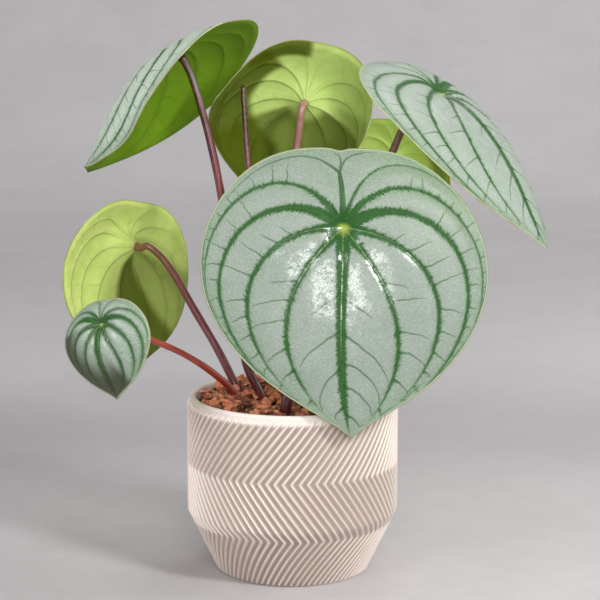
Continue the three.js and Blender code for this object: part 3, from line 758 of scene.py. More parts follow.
# For the cells beside the midrib, beside the next veins, and so on: where along its vein the
# first side vein starts and how far apart they are, in millimetres on the large leaf, how much
# of its cell a side vein crosses near the stalk and near the tip, how far it leans to the tip
# there, in degrees, how much more it leans on its way, and half its width at its root.
SIDE_VEINS = [
    dict(first=27, pitch=13.5, reach=(0.6, 0.95), lean=(33, 30), growth=24, half=(0.45, 0.62)),
    dict(first=24, pitch=11, reach=(0.35, 1.0), lean=(46, 6), growth=9, half=(0.38, 0.52)),
    dict(first=24, pitch=8.3, reach=(0.45, 1.0), lean=(38, 0), growth=3, half=(0.32, 0.46)),
    dict(first=38, pitch=7.6, reach=(0.75, 1.0), lean=(22, 0), growth=0, half=(0.28, 0.4)),
    dict(first=34, pitch=6.5, reach=(0.35, 0.7), lean=(15, 0), growth=0, half=(0.24, 0.36)),
]
SIDE_VEIN_STEPS = 22
NO_SIDE_VEIN = 99.0  # the distance in millimetres that stands for none near


def vein_point(leaf, phi, t):
    return np.stack(flat_place(leaf, vein_to(phi, t), t), -1)


def side_vein_paths(leaf, veins, root, out, starts, reach, lean, growth):
    """Points on the flat blade along side veins that leave one main vein at given shares."""
    phi = np.full(starts.shape, np.interp(root, veins.cells, veins.phis))
    per_cell = abs(np.interp(root + out, veins.cells, veins.phis) - phi[0])
    t, small = starts.copy(), 1e-4
    points = [vein_point(leaf, phi, t)]
    for step in range(SIDE_VEIN_STEPS):
        here = points[-1]
        by_phi = (vein_point(leaf, phi + small * out, t) - here) / small
        by_t = (vein_point(leaf, phi, t + small) - here) / small
        pace = np.linalg.norm(by_t, axis=-1)
        along = by_t / pace[:, None]
        drift = (by_phi * along).sum(-1)
        across = np.sqrt(np.maximum((by_phi ** 2).sum(-1) - drift ** 2, 1e-6))
        turned = reach * per_cell / SIDE_VEIN_STEPS
        angle = np.radians(lean + growth * reach * step / SIDE_VEIN_STEPS)
        t = np.clip(t + (across * np.tan(angle) - drift) * turned / pace, 0, 0.985)
        phi = phi + out * turned
        points.append(vein_point(leaf, phi, t))
    return np.stack(points, 1)


def side_veins(leaf, veins):
    """The side veins of every cell: points on the flat blade, the half width at each, and the
    signs of the distances on their two sides, which alternate so that neighbours agree."""
    draw = np.random.default_rng(leaf["seed"])
    scale = leaf["tip"] / LEAVES["front"]["tip"]
    found = {}
    for cell in range(-5, 5):
        out = 1 if cell >= 0 else -1
        root = cell if out > 0 else cell + 1
        law = SIDE_VEINS[abs(root)]
        phi = np.full(veins.steps.shape, np.interp(root, veins.cells, veins.phis))
        runs = veins.run(phi, veins.steps)
        place = (law["first"] + draw.uniform(-3, 5)) * scale
        places = []
        while place < runs[-1] * 0.93:
            places.append(place)
            place += law["pitch"] * math.sqrt(scale) * draw.uniform(0.75, 1.3)
        starts = np.interp(places, runs, veins.steps)
        later = ease(0.25, 0.65, starts)
        reach, lean = (start + (end - start) * later for start, end in (law["reach"], law["lean"]))
        reach = reach * draw.uniform(0.8, 1.12, later.shape)
        lean = lean + draw.uniform(-6, 6, later.shape)
        paths = side_vein_paths(leaf, veins, root, out, starts, np.minimum(reach, 1), lean,
                                law["growth"])
        wobble = np.cumsum(draw.normal(0, 0.12, paths.shape), axis=1)
        paths = paths + wobble - wobble[:, :1]
        halves = draw.uniform(*law["half"], later.shape)
        done = np.linspace(0, 1, SIDE_VEIN_STEPS + 1)
        found[cell] = []
        for path, half, share in zip(paths, halves, reach):
            taper = np.maximum(np.sqrt(1 - done), 0.5 if share > 0.97 else 0)
            length = done * np.linalg.norm(np.diff(path, axis=0), axis=1).sum()
            half = half * (taper + 0.9 * np.exp(-length / 1.3)) * math.sqrt(leaf["vein_width"])
            found[cell].append((path, half, (-1, 1) if len(found[cell]) % 2 else (1, -1)))
    fork = []
    for branch in leaf["fork"]:
        theta, t = np.array(branch["points"]).T
        steps = np.linspace(0, len(t) - 1, 3 * len(t))
        theta, t = (np.interp(steps, np.arange(len(t)), v) for v in (np.radians(theta), t))
        width = np.interp(t, [0, 0.25, 0.62, 0.72, 0.92, 0.96], [2.0, 1.3, 1.0, 0.62, 0.36, 0.1])
        fork.append((np.stack(flat_place(leaf, theta, t), -1), width, branch["sides"]))
    for cell in FORK_CELLS:
        found[cell] = fork + found.get(cell, [])
    return found


def side_vein_fields(leaf, veins, cell, x, y):
    """Signed distance to the nearest side vein, and that vein's half width, in millimetres."""
    distance = np.full(cell.shape, NO_SIDE_VEIN)
    width = np.zeros(cell.shape)
    for index, found in side_veins(leaf, veins).items():
        inside = np.floor(cell) == index
        points = np.stack([x[inside], y[inside]], -1)[:, None]
        best = np.full(len(points), NO_SIDE_VEIN)
        best_width = np.zeros(len(points))
        for path, half, sides in found:
            start, leg = path[None, :-1], np.diff(path, axis=0)[None]
            offset = points - start
            share = np.clip((offset * leg).sum(-1) / (leg ** 2).sum(-1), 0, 1)
            gap = offset - share[..., None] * leg
            squares = (gap ** 2).sum(-1)
            nearest = squares.argmin(1)
            rows = np.arange(len(points))
            far = np.sqrt(squares[rows, nearest])
            along, aside = leg[0, nearest], gap[rows, nearest]
            turn = along[:, 0] * aside[:, 1] - along[:, 1] * aside[:, 0]
            signed = np.where(turn < 0, sides[0], sides[1]) * far
            grown = np.interp(nearest + share[rows, nearest], np.arange(len(half)), half)
            nearer = far < np.abs(best)
            best = np.where(nearer, signed, best)
            best_width = np.where(nearer, grown, best_width)
        distance[inside] = best
        width[inside] = best_width
    return distance, width


# ---- Leaf blades ----------------------------------------------------------------------------

def blade_relief(leaf, cell, t, span, x, y):
    """How far the upper face rises over its smooth form, in millimetres."""
    from_vein = np.abs(cell - np.rint(cell))
    gap = from_vein * span
    rank = np.abs(np.rint(cell))
    full = np.clip(span / 9, 0.15, 1.2)
    envelope = ease(0.02, 0.22, t) * (1 - ease(0.8, 1.0, t))
    puff = leaf["quilt"] * full * np.sin(np.pi * np.clip(from_vein, 0, 0.5)) ** 0.8
    groove = -0.55 * leaf["quilt"] * np.exp(-(gap / 1.1) ** 2)
    groove = groove * np.interp(rank, [0, 2, 4, 5], [1, 0.8, 0.5, 0.15])
    wave = np.random.default_rng(leaf["seed"])
    ripple = 0
    for _ in range(9):
        kx, ky = wave.normal(0, 0.09, 2)
        ripple = ripple + 0.07 * np.sin(kx * x + ky * y + wave.uniform(0, 2 * np.pi))
    dimple = -leaf["dimple"] * np.exp(-(x * x + y * y) / 49)
    funnel = leaf["funnel"] * (1 - np.exp(-t / 0.17)) * (1 - t * t) ** 1.5 * 1.35
    return (puff + groove) * envelope + ripple * ease(0, 0.2, t) + dimple + funnel


def blade_painted_shade(leaf, theta, t):
    """How much painted shade darkens each place of a blade, from 0 to 1."""
    light = np.ones(theta.shape)
    for middle, half, start, full, strength in leaf["painted_shadows"]:
        away = np.abs((np.degrees(theta) - middle + 180) % 360 - 180)
        light = light * (1 - strength * ease(half + 5, half - 5, away) * ease(start, full, t))
    return 1 - light


def build_blade(name, leaf, thickness, materials):
    o, places = grid(f"blade_{name}", leaf["grid"], leaf["grid"])
    use_materials(o, *materials)
    disc_x, disc_y = on_disc(places)
    t = np.clip(np.hypot(disc_x, disc_y), 0, 1)
    theta = np.arctan2(disc_y, disc_x)
    x, y = flat_place(leaf, theta, t)
    veins = VeinMap(leaf)
    phi = vein_from(theta, t)
    cell = veins.cell_of(phi)
    run = veins.run(phi, t)
    span = veins.span(theta, np.minimum(t, 0.995))
    relief = blade_relief(leaf, cell, t, span, x, y)
    move_points(o, blade_surface(leaf, x, y) + blade_normal(leaf, x, y) * relief[:, None])
    corners = loop_corners(o)
    cells = cell[corners].reshape(-1, 4)
    shares = t[corners].reshape(-1, 4)
    cells = np.where(cells < cells.max(1, keepdims=True) - CELLS / 2, cells + CELLS, cells)
    at_stalk = shares < 1e-6
    others = np.maximum((~at_stalk).sum(1, keepdims=True), 1)
    mean = np.where(at_stalk, 0, cells).sum(1, keepdims=True) / others
    cells = np.where(at_stalk, mean, cells)
    set_uv(o, np.stack([cells / CELLS + 0.5, shares], -1).reshape(-1, 2))
    twig, twig_width = side_vein_fields(leaf, veins, cell, x, y)
    edge = (1 - t) * leaf["tip"] * outline_reach(leaf, theta)
    for key, values in (("span", span), ("run", run), ("edge", edge), ("twig", twig),
                        ("twig_width", twig_width), ("vein_width", main_vein_width(leaf, cell, t)),
                        ("shade", blade_painted_shade(leaf, theta, t))):
        set_values(o, key, values)
    body = o.vertex_groups.new(name="body")
    fullness = 0.5 + 0.5 * ease(0, 2.5, edge)
    for index, weight in enumerate(fullness):
        body.add((index,), float(weight), "REPLACE")
    up = leaf_axes(leaf)[1]
    if Vector(up) @ sum((f.normal for f in o.data.polygons), Vector()) < 0:
        o.data.flip_normals()
    wall = o.modifiers.new("wall", "SOLIDIFY")
    wall.thickness = thickness
    wall.offset = -1
    wall.vertex_group = "body"
    wall.material_offset = 1
    wall.material_offset_rim = 2
    apply_modifiers(o)
    o.vertex_groups.clear()
    smooth(o)
    return o


VEIN_INPUTS = ("Hairs", "Softness")
VEIN_MASKS = ("Main", "Side", "Rib Line", "Star", "Eye", "Edge", "Gap", "Centre")


def vein_group():
    """Masks of a leaf's veins from its UV map and attributes, shared by both faces."""
    tree = bpy.data.node_groups.new("Vein masks", "ShaderNodeTree")
    for kind, names in (("INPUT", VEIN_INPUTS), ("OUTPUT", VEIN_MASKS)):
        for name in names:
            tree.interface.new_socket(name=name, in_out=kind, socket_type="NodeSocketFloat")
    s = Shader(tree)
    hairs, softness = (Value(s, socket) for socket in s.node("NodeGroupInput").outputs[:2])
    across, t = s.uv()
    cell = (across - 0.5) * CELLS
    vein = round(cell)
    rank = abs(vein)
    offset = (cell - vein) * s.attribute("span")
    gap, run = abs(offset), s.attribute("run")
    hair = s.noise(s.vector((run - gap * 0.6) * 1.3, offset * 0.35, vein * 7.3), 1.0, 4.0, 0.7)
    clump = s.noise(s.vector(run * 0.16, vein * 3.1), 1.0, 1.0)
    spike = (s.ramp(hair, 0.42, 0.85, 0, 1, "LINEAR") ** 1.3
             * s.ramp(clump, 0.3, 0.7, 0.45, 1.35, "LINEAR"))
    fleck = s.noise(s.place(), 1500, 2, 0.6) - 0.5
    width, twig = s.attribute("vein_width"), s.attribute("twig_width")
    reach = (spike * (hairs * 2.4) - 0.22 + fleck * hairs) * s.ramp(width, 0.1, 1.3, 0.35, 1.0)
    main = s.ramp((width + reach - gap) / softness, -0.6, 0.8) * s.ramp(width, 0.02, 0.25)
    side = s.ramp(twig + fleck * 0.4 - abs(s.attribute("twig")), -0.18, 0.2)
    side = side * s.ramp(twig, 0.03, 0.2) * s.ramp(twig, 0.4, 0.8, 0.68, 1.0)
    broken = s.ramp(s.noise(s.vector(run * 0.9, rank), 1.0, 2, 0.6), 0.35, 0.6)
    rib = s.ramp(gap, 0.3, 0.06) * s.ramp(t + rank * 0.2, 0.68, 0.5)
    rib = rib * broken * s.ramp(rank, 3.6, 1.6)
    s.node("NodeGroupOutput", Main=main, Side=side, Rib_Line=rib, Star=s.ramp(t, 0.115, 0.05),
           Eye=s.ramp(t, 0.066, 0.0), Edge=s.attribute("edge"), Gap=gap,
           Centre=s.ramp(abs(cell), 2.3, 1.5) * s.ramp(t, 0.8, 0.5))
    return tree


def upper_material(name, settings, veins, young, silver):
    material, s = new_material(name, silver, 0.4)
    place = s.place()
    out = s.group(veins, Hairs=0.5 if young else 1.1, Softness=1.3 if young else 0.95)
    edge = out["Edge"]
    grain = s.noise(place, 1600, 3, 0.7)
    lumps = s.noise(place, 420, 3, 0.6)
    pebbles = s.value("ShaderNodeTexVoronoi", "Distance", Vector=place, Scale=1300.0)
    dull, bright = tone(silver, 0.70, 0.80, 0.70), tone(silver, 1.5, 1.42, 1.5)
    deep = s.mix(s.ramp(grain, 0.35, 0.75), settings.vein, tone(settings.vein, 2.0, 1.8, 1.8))
    colour = s.layers(
        silver,
        (s.ramp(s.noise(place, 130, 3, 0.6), 0.3, 0.7, 0, 0.35), dull),
        (s.ramp(grain, 0.50, 0.72, 0, 0.8), bright),
        (s.ramp(grain, 0.48, 0.30, 0, 0.75), dull),
        (s.ramp(edge, 8.0, 1.0, 0, 0.45) * s.ramp(grain, 0.6, 0.35, 0.5, 1.0), settings.margin),
        (s.ramp(out["Gap"], 4.6, 0.8) * s.ramp(grain, 0.6, 0.35, 0.15, 1.0) * 0.6, settings.margin),
        (out["Side"] * (0.15 if young else 0.95), deep),
        (out["Main"] * 0.95, deep),
        (out["Star"] * 0.92, deep),
        (out["Rib Line"] * 0.6, (0.40, 0.50, 0.24)),
        (out["Eye"], (0.38, 0.50, 0.09)),
        # painted shade and shadow from the leaf's painted shadows, on the upper face as well
        (s.attribute("shade"), (0.05, 0.062, 0.03)),
        (s.ramp(edge, 0.75, 0.45, 0, 0.75), (0.56, 0.62, 0.42)),
        (s.ramp(edge, 0.42, 0.2, 0, 0.75), (0.24, 0.21, 0.08)))
    height = out["Main"] * -0.35 + out["Side"] * -0.9 + s.ramp(pebbles, 0.1, 0.7) * -0.5
    height = height + lumps * 1.2
    wet = s.ramp(s.noise(place, 260, 4, 0.75), 0.42, 0.56) * s.ramp(grain, 0.40, 0.54, 0.25, 1.0)
    s.set(Base_Color=colour, Roughness=s.ramp(grain, 0.3, 0.7, 0.34, 0.5),
          Specular_IOR_Level=out["Main"] * -0.3 + 0.45, Normal=s.bump(height, 0.00012, 0.85),
          Coat_Weight=out["Centre"] * wet * (0.35 if young else 1.0), Coat_Roughness=0.17,
          Coat_IOR=1.8, Coat_Normal=s.bump(lumps, 0.0001, 0.6))
    s.let_light_through(colour, 0.1)
    return material


def lower_material(name, veins, under, glow):
    material, s = new_material(name, under, 0.6, 0.1)
    place, shade = s.place(), s.attribute("shade")
    out = s.group(veins, Hairs=0.1, Softness=0.9)
    pale, deep = tone(under, 1.22, 1.14, 1.6), tone(under, 0.55, 0.68, 0.4)
    thick = s.ramp(s.attribute("vein_width"), 0.15, 0.9)
    ridge = s.ramp(out["Gap"], 0.75, 0.1) * thick
    colour = s.layers(
        under,
        (s.ramp(s.noise(place, 120, 3, 0.6), 0.3, 0.7), tone(under, 0.84, 0.92, 0.78)),
        (s.ramp(s.noise(place, 1300, 2, 0.6), 0.5, 0.75, 0, 0.3), pale),
        (s.ramp(out["Gap"], 1.4, 0.4) * thick * 0.35, deep),
        (ridge * 0.3, pale),
        (out["Side"] * 0.3, deep),
        # painted shade and shadow, a dark, saturated green
        (shade, tone(under, 0.14, 0.155, 0.01)),
        (out["Eye"] * 0.5, (0.50, 0.40, 0.12)),
        (s.ramp(out["Edge"], 0.6, 0.2, 0, 0.6), (0.30, 0.30, 0.08)))
    height = ridge * 0.8 + out["Side"] * 0.5 + s.noise(place, 260, 4, 0.65) * 1.1
    # The emission is a painted glow: light that comes through the blade, painted green except where
    # the painted shade lies.
    s.set(Base_Color=colour, Emission_Strength=glow, Normal=s.bump(height, 0.0004, 0.9),
          Emission_Color=s.mix(shade, (0.62, 1.0, 0.10), (0.0, 0.0, 0.0)))
    s.let_light_through(s.mix(0.85, colour, (0.36, 0.62, 0.02)), 0.3)
    return material


def edge_material():
    material, s = new_material("blade_edge", (0.62, 0.62, 0.36), 0.35)
    tint = s.ramp(s.noise(s.place(), 60, 2, 0.5), 0.4, 0.62)
    colour = s.mix(tint, (0.62, 0.66, 0.40), (0.40, 0.30, 0.14))
    s.set(Base_Color=colour)
    s.let_light_through(colour, 0.25)
    return material


def all_but(name, left_out):
    """A collection of every mesh in the scene apart from one."""
    group = bpy.data.collections.new(name)
    for o in bpy.context.scene.objects:
        if o.type == "MESH" and o is not left_out:
            group.objects.link(o)
    return group


class PEPEROMIA_OT_blades(bpy.types.Operator):
    """Make the seven blades, with their veins, quilting, undersides and margins"""
    bl_idname = "peperomia.blades"
    bl_label = "Leaf blades"

    def execute(self, context):
        settings = context.scene.peperomia_blades
        veins = vein_group()
        edge = edge_material()
        for name, leaf in LEAVES.items():
            # the leaf's silver factor is painted light and shade
            silver = tone(settings.silver, leaf["silver"])
            upper = upper_material(f"upper_{name}", settings, veins, name == YOUNG_LEAF, silver)
            lower = lower_material(f"lower_{name}", veins, leaf["under"], leaf["glow"])
            o = build_blade(name, leaf, settings.thickness, (upper, lower, edge))
            dress(o, f"leaf_{name}")
        # the key light passes one blade, as a lamp set to its side would, and the left one is
        # masked from the floor
        blade, floor = (bpy.data.objects[name] for name in ("blade_upper_right", "floor"))
        key, left = (bpy.data.objects[name].light_linking for name in ("key", "left"))
        key.blocker_collection = all_but("key_blockers", blade)
        left.receiver_collection = all_but("left_receivers", floor)
        return {"FINISHED"}


# ---- Stalks ---------------------------------------------------------------------------------

def smooth_route(points, count):
    """Points spaced evenly along a centripetal Catmull-Rom curve through the given ones."""
    p = [np.array(q, float) for q in points]
    p = [2 * p[0] - p[1], *p, 2 * p[-1] - p[-2]]
    dense = []
    for i in range(1, len(p) - 2):
        gaps = [max(np.linalg.norm(p[i + k + 1] - p[i + k]) ** 0.5, 1e-4) for k in (-1, 0, 1)]
        start = ((p[i] - p[i - 1]) / gaps[0] - (p[i + 1] - p[i - 1]) / (gaps[0] + gaps[1])
                 + (p[i + 1] - p[i]) / gaps[1]) * gaps[1]
        end = ((p[i + 1] - p[i]) / gaps[1] - (p[i + 2] - p[i]) / (gaps[1] + gaps[2])
               + (p[i + 2] - p[i + 1]) / gaps[2]) * gaps[1]
        u = np.linspace(0, 1, 40, endpoint=False)[:, None]
        dense.append(p[i] * (2 * u**3 - 3 * u**2 + 1) + start * (u**3 - 2 * u**2 + u)
                     + p[i + 1] * (-2 * u**3 + 3 * u**2) + end * (u**3 - u**2))
    dense = np.concatenate([*dense, [p[-2]]])
    length = np.concatenate([[0], np.cumsum(np.linalg.norm(np.diff(dense, axis=0), axis=1))])
    wanted = np.linspace(0, length[-1], count)
    return np.stack([np.interp(wanted, length, dense[:, k]) for k in range(3)], -1), length[-1]


def sweep_tube(name, points, radius_at, sides=20, rings=96):
    """A closed round tube along a smooth route. radius_at gives its radius from the distances
    along it. Its UV map runs round it and, in millimetres over a hundred, along it."""
    centres, length = smooth_route(points, rings + 1)
    along = np.linspace(0, length, rings + 1)
    tangents = np.gradient(centres, axis=0)
    tangents /= np.linalg.norm(tangents, axis=1, keepdims=True)
    arm = np.cross(tangents[0], [0.0, 1.0, 0.0])
    arms = []
    for tangent in tangents:
        arm = arm - tangent * (arm @ tangent)
        arm = arm / np.linalg.norm(arm)
        arms.append(arm)
    arms = np.array(arms)
    thwart = np.cross(tangents, arms)
    radii = radius_at(along, length)
    o, places = grid(name, sides, rings + 2)
    row = np.rint((places[:, 1] + 1) / 2 * (rings + 2)).astype(int)
    ring = np.clip(row - 1, 0, rings)
    angle = (places[:, 0] + 1) * np.pi
    reach = np.where((row == 0) | (row == rings + 2), 0, radii[ring])
    move_points(o, centres[ring] + (reach * np.cos(angle))[:, None] * arms[ring]
                + (reach * np.sin(angle))[:, None] * thwart[ring])
    uv = np.stack([(places[:, 0] + 1) / 2, along[ring] / 100], -1)
    set_uv(o, uv[loop_corners(o)])
    set_values(o, "share", along[ring] / length)
    close_seams(o, 1e-7)
    smooth(o)
    return o


def stalk_material(name, colours, relief=0.4):
    foot, middle, head = colours
    material, s = new_material(name, middle, 0.34)
    place, (across, along) = s.place(), s.uv()
    wander = s.attribute("share") + (s.noise(place, 70, 2) - 0.5) * 0.25
    streak = s.noise(s.vector(across * 24.0, along * 26.0), 1.0, 3, 0.7)
    pale = tuple(min(c * 2.2 + 0.05, 1) for c in middle)
    colour = s.layers(
        foot,
        (s.ramp(wander, 0.12, 0.42), middle),
        (s.ramp(wander, 0.62, 0.94), head),
        (s.ramp(streak, 0.55, 0.70, 0, 0.55), pale),
        (s.ramp(s.noise(place, 1100, 2, 0.6), 0.60, 0.72, 0, 0.25), pale),
        (s.ramp(streak, 0.46, 0.30, 0, 0.6), tone(middle, 0.35)))
    height = s.noise(place, 700, 2, 0.5) + s.ramp(streak, 0.5, 0.7) * relief
    s.set(Base_Color=colour, Coat_Weight=0.6, Coat_Roughness=0.22,
          Normal=s.bump(height, 0.00018, 0.6))
    return material


class PEPEROMIA_OT_stalks(bpy.types.Operator):
    """Make the seven leaf stalks, from the crown to the blades"""
    bl_idname = "peperomia.stalks"
    bl_label = "Leaf stalks"

    def execute(self, context):
        thickness = context.scene.peperomia_blades.thickness / MM
        for name, stalk in STALKS.items():
            leaf = LEAVES[name]
            up = leaf_axes(leaf)[1]
            joint = np.array(leaf["at"]) - up * (leaf["dimple"] + thickness)
            route = list(stalk["route"])
            if stalk["bend"] > 0:
                route.append(tuple(joint - up * stalk["bend"]))
            route.append(tuple(joint + up * 0.15))
            low, high = stalk["radii"]

            def radius_at(along, length, low=low, high=high):
                plain = low + (high - low) * along / length
                flare = (HEAD_FLARE * np.exp(-(length - along) / HEAD_LENGTH)
                         + FOOT_FLARE * np.exp(-along / FOOT_LENGTH))
                return plain + flare + 0.05 * np.sin(along / 3.7 + low * 5)

            o = sweep_tube(f"petiole_{name}", route, radius_at)
            use_materials(o, stalk_material(f"petiole_{name}", stalk["colours"]))
            dress(o, f"stalk_{name}")
        return {"FINISHED"}


class PEPEROMIA_OT_spike(bpy.types.Operator):
    """Make the young flower spike with its blunt end"""
    bl_idname = "peperomia.spike"
    bl_label = "Flower spike"

    def execute(self, context):
        low, high = SPIKE["radii"]

        def radius_at(along, length):
            plain = low + (high - low) * along / length
            past = ((along - length) / SPIKE_END + 1).clip(0, 1)
            blunt = np.sqrt(np.clip(1 - past**2, 0.02, 1))
            return (plain + 0.06 * np.sin(along * 1.9) * ease(60, 120, along)) * blunt

        o = sweep_tube("young_flower_spike", SPIKE["route"], radius_at, rings=150)
        use_materials(o, stalk_material("spike_skin", SPIKE["colours"], relief=1.2))
        dress(o, "flower_spike")
        return {"FINISHED"}


# ---- Soil and mulch -------------------------------------------------------------------------

def bark_material(settings):
    material, s = new_material("bark_chips", settings.red, 0.78, 0.3)
    place = s.place()
    coarse = s.noise(place, 260, 4, 0.65, 0.6)
    fine = s.noise(place, 1500, 3, 0.6)
    colour = s.layers(
        settings.dark,
        (s.ramp(s.attribute("tone"), 0.15, 0.85), settings.red),
        (s.ramp(coarse, 0.50, 0.66, 0, 0.75), tone(settings.red, 1.3, 1.6, 1.8)),
        (s.ramp(coarse, 0.46, 0.32, 0, 0.8), settings.dark),
        (s.ramp(fine, 0.62, 0.74, 0, 0.35), (0.66, 0.40, 0.27)),
        # painted shade between the chips: the less depth, the nearer black
        (s.ramp(s.attribute("depth"), 0.0, 1.0, 0.85, 0.0), (0.012, 0.006, 0.004)))
    s.set(Base_Color=colour, Normal=s.bump(coarse + fine * 0.35, 0.0009, 0.9))
    return material


def cut_off(normal, size, share):
    """Cuts the mesh in edit mode by a plane across normal at that share of size, and fills it."""
    normal = Vector(normal).normalized()
    bpy.ops.mesh.select_all(action="SELECT")
    bpy.ops.mesh.bisect(plane_co=normal * size * share, plane_no=normal, use_fill=True,
                        clear_outer=True)


def chip_shapes(length, seed):
    """A few bark chips: boxes cut by slanting planes, with a layered, uneven top."""
    draw = random.Random(seed)
    shapes = []
    for index in range(CHIP_SHAPES):
        clear_selection()
        bpy.ops.mesh.primitive_cube_add(size=1)
        o = named(f"chip_{index}")
        o.scale = [length * draw.uniform(*span) for span in ((0.8, 1.15), (0.5, 0.8), (0.2, 0.34))]
        bpy.ops.object.transform_apply(location=False, rotation=False, scale=True)
        bpy.ops.object.mode_set(mode="EDIT")
        for _ in range(5):
            turn = draw.uniform(0, 2 * math.pi)
            cut_off((math.cos(turn), math.sin(turn), draw.uniform(-0.5, 0.5)), length,
                    draw.uniform(0.24, 0.42))
        for _ in range(2):
            cut_off((draw.uniform(-0.35, 0.35), draw.uniform(-0.35, 0.35), 1), length,
                    draw.uniform(0.05, 0.13))
        bpy.ops.mesh.select_all(action="SELECT")
        bpy.ops.mesh.bevel(offset=length * 0.035, segments=1, affect="EDGES")
        bpy.ops.mesh.select_all(action="SELECT")
        bpy.ops.mesh.quads_convert_to_tris()
        bpy.ops.object.mode_set(mode="OBJECT")
        for vertex in o.data.vertices:
            vertex.co += Vector([draw.uniform(-1, 1) for _ in range(3)]) * length * 0.02
        shapes.append(o)
    return shapes


def mulch_bed(wall):
    """The solid, uneven bed that the chips lie in, out to the radius wall."""
    bed, places = grid("mulch_bed", 64, 64)
    x, y = (part * wall for part in on_disc(places))
    share = np.hypot(x, y) / wall
    bumps = np.sin(x * 0.9 + 1.3 * np.sin(y * 0.7)) * np.sin(y * 1.1 + np.sin(x * 0.8))
    move_points(bed, np.stack([x, y, BED_TOP + BED_HEAP * (1 - share**2) + 0.6 * bumps], -1))
    set_values(bed, "tone", np.full(len(x), 0.1))
    # The bed has no depth, so it takes the full painted shade.
    set_values(bed, "depth", np.zeros(len(x)))
    solid = bed.modifiers.new("bed", "SOLIDIFY")
    solid.thickness = BED_THICKNESS * MM
    solid.offset = -1
    apply_modifiers(bed)
    return bed


class PEPEROMIA_OT_mulch(bpy.types.Operator):
    """Fill the pot with loose bark chips, level with its rim"""
    bl_idname = "peperomia.mulch"
    bl_label = "Bark mulch"

    def execute(self, context):
        settings = context.scene.peperomia_mulch
        draw = random.Random(23)
        shapes = chip_shapes(settings.chip_length, 29)
        wall = POT["inner_radius"] - WALL_GAP
        parts = [mulch_bed(wall)]
        lower = settings.chips * CHIP_LAYERS[0]["part"]
        for index in range(settings.chips):
            layer = int(index >= lower)
            law = CHIP_LAYERS[layer]
            base = index - layer * int(lower)
            share = math.sqrt((base + 0.5) / (settings.chips * law["part"]))
            angle = base * GOLDEN_ANGLE + draw.uniform(-0.4, 0.4) + layer
            reach = share * (wall - CHIP_MARGIN)
            size = draw.uniform(*law["size"])
            z = CHIP_TOP + CHIP_HEAP * (1 - share * share) + draw.uniform(*law["rise"])
            shape = shapes[draw.randrange(len(shapes))]
            copy = shape.copy()
            copy.data = shape.data.copy()
            context.scene.collection.objects.link(copy)
            copy.scale = (size, size * draw.uniform(0.75, 1.1), size * draw.uniform(0.8, 1.3))
            copy.rotation_euler = (draw.gauss(0, law["lean"]), draw.gauss(0, law["lean"]),
                                   draw.uniform(0, 2 * math.pi))
            x, y = reach * math.cos(angle), reach * math.sin(angle)
            copy.location = (x * MM, y * MM, z * MM)
            points = len(copy.data.vertices)
            set_values(copy, "tone", np.full(points, draw.random() ** 0.8))
            set_values(copy, "depth", np.full(points, law["depth"]))
            parts.append(copy)
        for shape in shapes:
            bpy.data.objects.remove(shape)
        pick(*parts)
        bpy.ops.object.join()
        mulch = named("mulch_chips")
        bpy.ops.object.transform_apply(location=True, rotation=True, scale=True)
        pick(mulch)
        bpy.ops.object.shade_smooth_by_angle(angle=math.radians(28))
        use_materials(mulch, bark_material(settings))
        dress(mulch, "bark_mulch")
        return {"FINISHED"}


def earthy_material(name, colour, finish, grain, span, tones, bump):
    """A matt material. Its grain, a noise, runs over span from the first tone to the second."""
    material, s = new_material(name, colour, *finish)
    noise = s.noise(s.place(), *grain)
    s.set(Base_Color=s.mix(s.ramp(noise, *span), *tones), Normal=s.bump(noise, *bump))
    return material


class PEPEROMIA_OT_soil(bpy.types.Operator):
    """Finish the potting mix and the crown, which stay the frame's own solids"""
    bl_idname = "peperomia.soil"
    bl_label = "Potting mix and crown"

    def execute(self, context):
        soil = earthy_material(
            "potting_mix", (0.03, 0.018, 0.011), (0.95, 0.2), (420, 5, 0.7), (0.35, 0.7),
            ((0.012, 0.007, 0.005), (0.075, 0.045, 0.028)), (0.0012, 1.0))
        crown = earthy_material(
            "crown_bark", (0.22, 0.2, 0.09), (0.6, 0.3), (240, 4, 0.6), (0.35, 0.65),
            ((0.10, 0.06, 0.03), (0.26, 0.25, 0.11)), (0.0006, 0.8))
        use_materials(frame["nodes"]["potting_mix"], soil)
        use_materials(frame["nodes"]["crown_and_roots"], crown)
        return {"FINISHED"}


# ---- Stage ----------------------------------------------------------------------------------

def softbox(name, power, size, azimuth, elevation, distance):
    """A square light that faces the plant. Azimuth is in degrees from the camera's side, to the
    right, and elevation is in degrees over the floor."""
    a, e = math.radians(azimuth), math.radians(elevation)
    away = Vector((math.sin(a) * math.cos(e), -math.cos(a) * math.cos(e), math.sin(e))) * distance
    data = bpy.data.lights.new(name, "AREA")
    data.shape = "SQUARE"
    data.size = size
    data.energy = power
    light = bpy.data.objects.new(name, data)
    light.location = away + Vector((0, 0, LIGHT_AIM))
    light.rotation_euler = away.to_track_quat("Z", "Y").to_euler()
    light.visible_camera = False
    bpy.context.scene.collection.objects.link(light)


